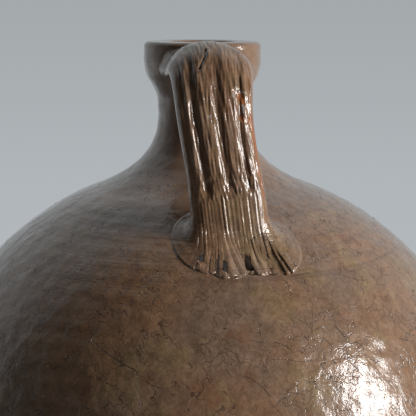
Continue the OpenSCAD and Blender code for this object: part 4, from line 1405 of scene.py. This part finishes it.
class JUG_OT_strap(bpy.types.Operator):
    """Adds the fluted strap handle with its drag lines, tear and chips"""

    bl_idname = "jug.strap"
    bl_label = "Strap handle"

    def execute(self, context):
        shop = workshop(context.scene)
        strap = shop.strap
        around = strap.around(176)
        q = np.linspace(0, 1, 220)
        rings = [strap.ring(x, around) for x in q]
        top, top_side = strap.onto_collar(rings[0])
        root, root_side = strap.onto_shoulder(rings[-1])
        sink = 0.0010
        head = [top - sink * top_side] + [top + (rings[0] - top) * k for k in np.linspace(0, 1, 7)[:-1]]
        tail = [rings[-1] + (root - rings[-1]) * k for k in np.linspace(0, 1, 20)[1:]]
        rings = np.array(head + rings + tail + [root - sink * root_side])
        mesh = ring_mesh("fluted_strap", rings)
        self.lay_uv(mesh, rings)
        self.mark(mesh, shop, rings, around)
        place_piece("fluted_strap", mesh, "strap_handle", shop.finish["handle_glaze"])
        return {"FINISHED"}

    def lay_uv(self, mesh, rings):
        """A map with the way across and the way along in decimetres."""
        step = np.linalg.norm(np.diff(rings.mean(axis=1), axis=0), axis=1)
        along = np.concatenate([[0], np.cumsum(step)]) * 10
        girth = np.linalg.norm(np.diff(rings[100], axis=0, append=rings[100][:1]), axis=1)
        across = np.concatenate([[0], np.cumsum(girth)[:-1]]) * 10
        table = np.stack(np.broadcast_arrays(across[None, :], along[:, None]), axis=2).reshape(-1, 2)
        table = np.concatenate([table, [(0.2, along[0]), (0.2, along[-1])]])
        corners = np.empty(len(mesh.loops), np.int32)
        mesh.loops.foreach_get("vertex_index", corners)
        layer = mesh.uv_layers.new(name="strap")
        layer.data.foreach_set("uv", table[corners].astype(np.float32).ravel())

    def mark(self, mesh, shop, rings, around):
        """Presses the marks that the photograph shows into the strap, and writes where they are."""
        u, outer = around
        rows, columns = rings.shape[:2]
        points = coordinates(mesh)
        tree = surface_tree(mesh)
        normals = np.empty(len(points) * 3, np.float32)
        mesh.vertices.foreach_get("normal", normals)
        normals = normals.reshape(-1, 3)
        moved = points.copy()
        for name, marks in (("bare", BARE_MARKS), ("pale", PALE_MARKS)):
            layer = np.zeros(len(points))
            for ends, half, depth in marks.values():
                line, _ = shop.lens.on(tree, ends)
                if len(line) < 2:
                    continue
                gap, _, _, _ = closest_on_line(points, line)
                share = ramp(gap, 0.55 * half * MM, 1.5 * half * MM, 1.0, 0.0)
                layer = np.maximum(layer, share)
                moved -= (share * depth * MM)[:, None] * normals
            set_floats(mesh, name, layer)
        line, _ = shop.lens.on(tree, TEAR)
        gap, sign, _, _ = closest_on_line(points, line)
        cut = ramp(gap, 0.0001, 0.0008, 1.0, 0.0)
        lip = ramp(np.abs(gap - 0.0016), 0.0, 0.0014, 1.0, 0.0) * (sign > 0)
        moved -= (0.0007 * cut - 0.0003 * lip)[:, None] * normals
        set_floats(mesh, "tear", cut)
        mesh.vertices.foreach_set("co", moved.astype(np.float32).ravel())
        mesh.update()

        # Share of painted shade: strongest down the flute grooves, weak over the whole back face, faded out
        # towards both ends
        share = np.zeros(columns)
        for place, depth, half in shop.strap.GROOVES:
            gap = np.abs(u - place) * shop.strap.sizes.w_grip / 2 / MM / half
            share = np.maximum(share, depth * ramp(gap, 0.1, 1.0, 1, 0))
        fade = np.interp(np.arange(rows), [0, 40, 70, rows - 50, rows - 20], [0, 0, 1, 1, 0])
        hollow = (fade[:, None] * np.where(outer, share, 0.15)[None, :]).ravel()
        set_floats(mesh, "hollow", np.concatenate([hollow, [0, 0]]))
        rim = np.where(np.abs(u) > 0.80, 1.0, 0.0) * np.where(u > 0, 1.0, 0.5)
        edge = np.broadcast_to(rim, (rows, columns)).ravel()
        set_floats(mesh, "edge", np.concatenate([edge, [0, 0]]))


class JUG_OT_handle_coils(bpy.types.Operator):
    """Adds the coils worked round the two ends of the strap"""

    bl_idname = "jug.handle_coils"
    bl_label = "Handle coils"

    def execute(self, context):
        shop = workshop(context.scene)
        strap = shop.strap
        s = strap.sizes
        around = strap.around(200)

        foot = strap.ring(1.0, around)
        up = -strap.root_dir
        corner, _ = strap.onto_shoulder(foot)
        side = strap.sides(foot, strap.root_dir)
        turn = np.linspace(0, 2 * math.pi, len(around[0]), endpoint=False)
        uneven = 1 + 0.10 * np.sin(3 * turn + 1) + 0.06 * np.sin(7 * turn)
        reach = s.lower_coil * uneven
        out, out_side = strap.onto_shoulder(foot + reach[:, None] * side)
        climb = s.lower_coil * (1.0 + 0.15 * np.cos(2 * turn + 0.7))
        lip = 0.0004 * np.clip(np.abs(side[:, 0]) * 1.2 - 0.2, 0, 1)
        rings = fillet(corner, up, side, out, out_side, climb, 0.00015, lip=lip)
        mesh = ring_mesh("worked_lower_coil", rings, looped=True)
        place_piece("worked_lower_coil", mesh, "lower_handle_coil",
                    shop.finish["belly_glaze"])
        set_floats(mesh, "crack_near", np.ones(len(mesh.vertices)))

        foot = strap.ring(0.0, around)
        corner, _ = strap.onto_collar(foot)
        side = strap.sides(foot, strap.frame_at(0.0)[1])
        room = np.clip((shop.pot.rim_z - 0.0012 - foot[:, 2]) / np.maximum(side[:, 2], 0.05), 0.0003, 1)
        under_rim = np.where(side[:, 2] > 0.05, 0.75 * room, 1)
        reach = np.minimum(s.upper_coil * (1 + 0.12 * np.sin(3 * turn)), under_rim)
        reach = np.convolve(np.tile(reach, 3), np.ones(7) / 7, "same")[len(reach):2 * len(reach)]
        out, out_side = strap.along_collar(corner, side, reach)
        climb = np.clip(reach * 1.1, 0.0008, 1)
        away = np.broadcast_to((0.0, -1.0, 0.0), corner.shape)
        rings = fillet(corner, away, side, out, out_side, climb, 0.00012, deep=0.0006)
        mesh = ring_mesh("worked_upper_coil", rings, looped=True)
        place_piece("worked_upper_coil", mesh, "upper_handle_coil", shop.finish["neck_glaze"])
        return {"FINISHED"}


class JUG_OT_stage(bpy.types.Operator):
    """Adds the camera, the window light, the pale wall and the floor"""

    bl_idname = "jug.stage"
    bl_label = "Camera, light and floor"

    def execute(self, context):
        studio = context.scene.jug_studio
        self.add_camera(context.scene, studio)
        self.add_window(context.scene, studio)
        self.add_world(context.scene, studio)
        self.add_floor(context.scene, studio)
        context.scene.view_settings.view_transform = "Standard"
        return {"FINISHED"}

    def add_camera(self, scene, studio):
        lens = Lens(studio)
        data = bpy.data.cameras.new("camera")
        data.sensor_width = 36.0
        data.lens = studio.focal / PHOTO_SIDE * data.sensor_width
        data.shift_x = studio.axis_offset / PHOTO_SIDE
        data.clip_start, data.clip_end = 0.01, 50
        camera = bpy.data.objects.new("camera", data)
        camera.location, camera.rotation_euler = lens.place, lens.turn
        scene.collection.objects.link(camera)
        scene.camera = camera

    def add_window(self, scene, studio):
        data = bpy.data.lights.new("window", "AREA")
        data.shape = "RECTANGLE"
        data.size, data.size_y = studio.window_width, studio.window_height
        data.energy = studio.window_power
        data.color = (1.0, 0.985, 0.97)
        window = bpy.data.objects.new("window", data)
        a, d = studio.window_azimuth, studio.window_distance
        window.location = (math.sin(a) * d, -math.cos(a) * d, studio.window_sill + studio.window_height / 2)
        towards = Vector((0, 0, 0.3)) - window.location
        towards.z = 0
        window.rotation_euler = towards.to_track_quat("-Z", "Y").to_euler()
        scene.collection.objects.link(window)

    def add_world(self, scene, studio):
        """A pale wall that the camera sees all round, and that lights the jug from behind only."""
        world = bpy.data.worlds.new("pale_wall")
        world.use_nodes = True
        world.node_tree.nodes.clear()
        w = Wiring(world.node_tree)
        sight = w.node("ShaderNodeSeparateXYZ", {0: w.add("ShaderNodeTexCoord", output="Generated")}).outputs
        paths = w.node("ShaderNodeLightPath").outputs
        grey = w.mix(w.band(sight["Z"], 0.03, -0.20), (*studio.wall_high, 1), (*studio.wall_low, 1))
        behind = w.band(sight["Y"], -0.15, 0.55)
        lit = w.math("MULTIPLY_ADD", behind, 0.90, 0.035)
        glossy = w.math("MULTIPLY_ADD", behind, 0.95, 0.05)
        strength = w.mix(paths["Is Glossy Ray"], lit, glossy, "FLOAT")
        strength = w.mix(paths["Is Camera Ray"], strength, 1.0, "FLOAT")
        wall = w.add("ShaderNodeBackground", {"Color": grey, "Strength": strength})
        w.node("ShaderNodeOutputWorld", {"Surface": wall})
        scene.world = world

    def add_floor(self, scene, studio):
        radius, rings, spokes = 1.35, 24, 96
        r = np.linspace(0, radius, rings)[1:]
        angle = np.linspace(0, 2 * math.pi, spokes, endpoint=False)
        points = [(0, 0, 0)] + [(a * math.cos(b), a * math.sin(b), 0) for a in r for b in angle]
        faces = [(0, 1 + j, 1 + (j + 1) % spokes) for j in range(spokes)]
        for i in range(rings - 2):
            low, high = 1 + i * spokes, 1 + (i + 1) * spokes
            faces += [(low + j, high + j, high + (j + 1) % spokes, low + (j + 1) % spokes)
                      for j in range(spokes)]
        mesh = bpy.data.meshes.new("floor")
        mesh.from_pydata(points, [], faces)
        material, w = new_material("pale_floor")
        place = w.add("ShaderNodeTexCoord", output="Object")
        reach = w.add("ShaderNodeVectorMath", {0: place}, "Value", operation="LENGTH")
        fade = w.band(reach, 0.55, radius * 0.98)
        grain = w.band(w.noise(place, 60.0, 3.0), 0.2, 0.8, 0.96, 1.04)
        colour = w.scaled((*studio.floor_grey,), grain)
        plain = w.add("ShaderNodeBsdfDiffuse", {"Color": colour})
        clear = w.add("ShaderNodeBsdfTransparent")
        both = w.add("ShaderNodeMixShader", {0: fade, 1: plain, 2: clear})
        w.node("ShaderNodeOutputMaterial", {"Surface": both})
        mesh.materials.append(material)
        floor = bpy.data.objects.new("floor", mesh)
        scene.collection.objects.link(floor)


OPERATORS = (JUG_OT_stage, JUG_OT_foot, JUG_OT_lower_wall, JUG_OT_upper_wall, JUG_OT_neck, JUG_OT_strap,
             JUG_OT_handle_coils)
GROUPS = {"jug_pot": PotSizes, "jug_handle": HandleSizes, "jug_glaze": GlazeLook, "jug_studio": StudioLook}


class JUG_PT_panel(bpy.types.Panel):
    """Lists the jug's sizes, colours and steps"""

    bl_idname = "JUG_PT_panel"
    bl_label = "Stoneware jug"
    bl_space_type = "VIEW_3D"
    bl_region_type = "UI"
    bl_category = "Jug"

    def draw(self, context):
        for operator in OPERATORS:
            self.layout.operator(operator.bl_idname)
        for group in GROUPS:
            box = self.layout.box()
            values = getattr(context.scene, group)
            for name in values.__annotations__:
                box.prop(values, name)


def register():
    for cls in (*GROUPS.values(), *OPERATORS, JUG_PT_panel):
        bpy.utils.register_class(cls)
    for name, group in GROUPS.items():
        setattr(bpy.types.Scene, name, PointerProperty(type=group))


def unregister():
    for name in GROUPS:
        delattr(bpy.types.Scene, name)
    for cls in reversed((*GROUPS.values(), *OPERATORS, JUG_PT_panel)):
        bpy.utils.unregister_class(cls)


def main():
    register()
    bpy.ops.jug.stage()
    bpy.ops.jug.foot()
    bpy.ops.jug.lower_wall()
    bpy.ops.jug.upper_wall()
    bpy.ops.jug.neck()
    bpy.ops.jug.strap()
    bpy.ops.jug.handle_coils()


if __name__ == "__main__":
    main()
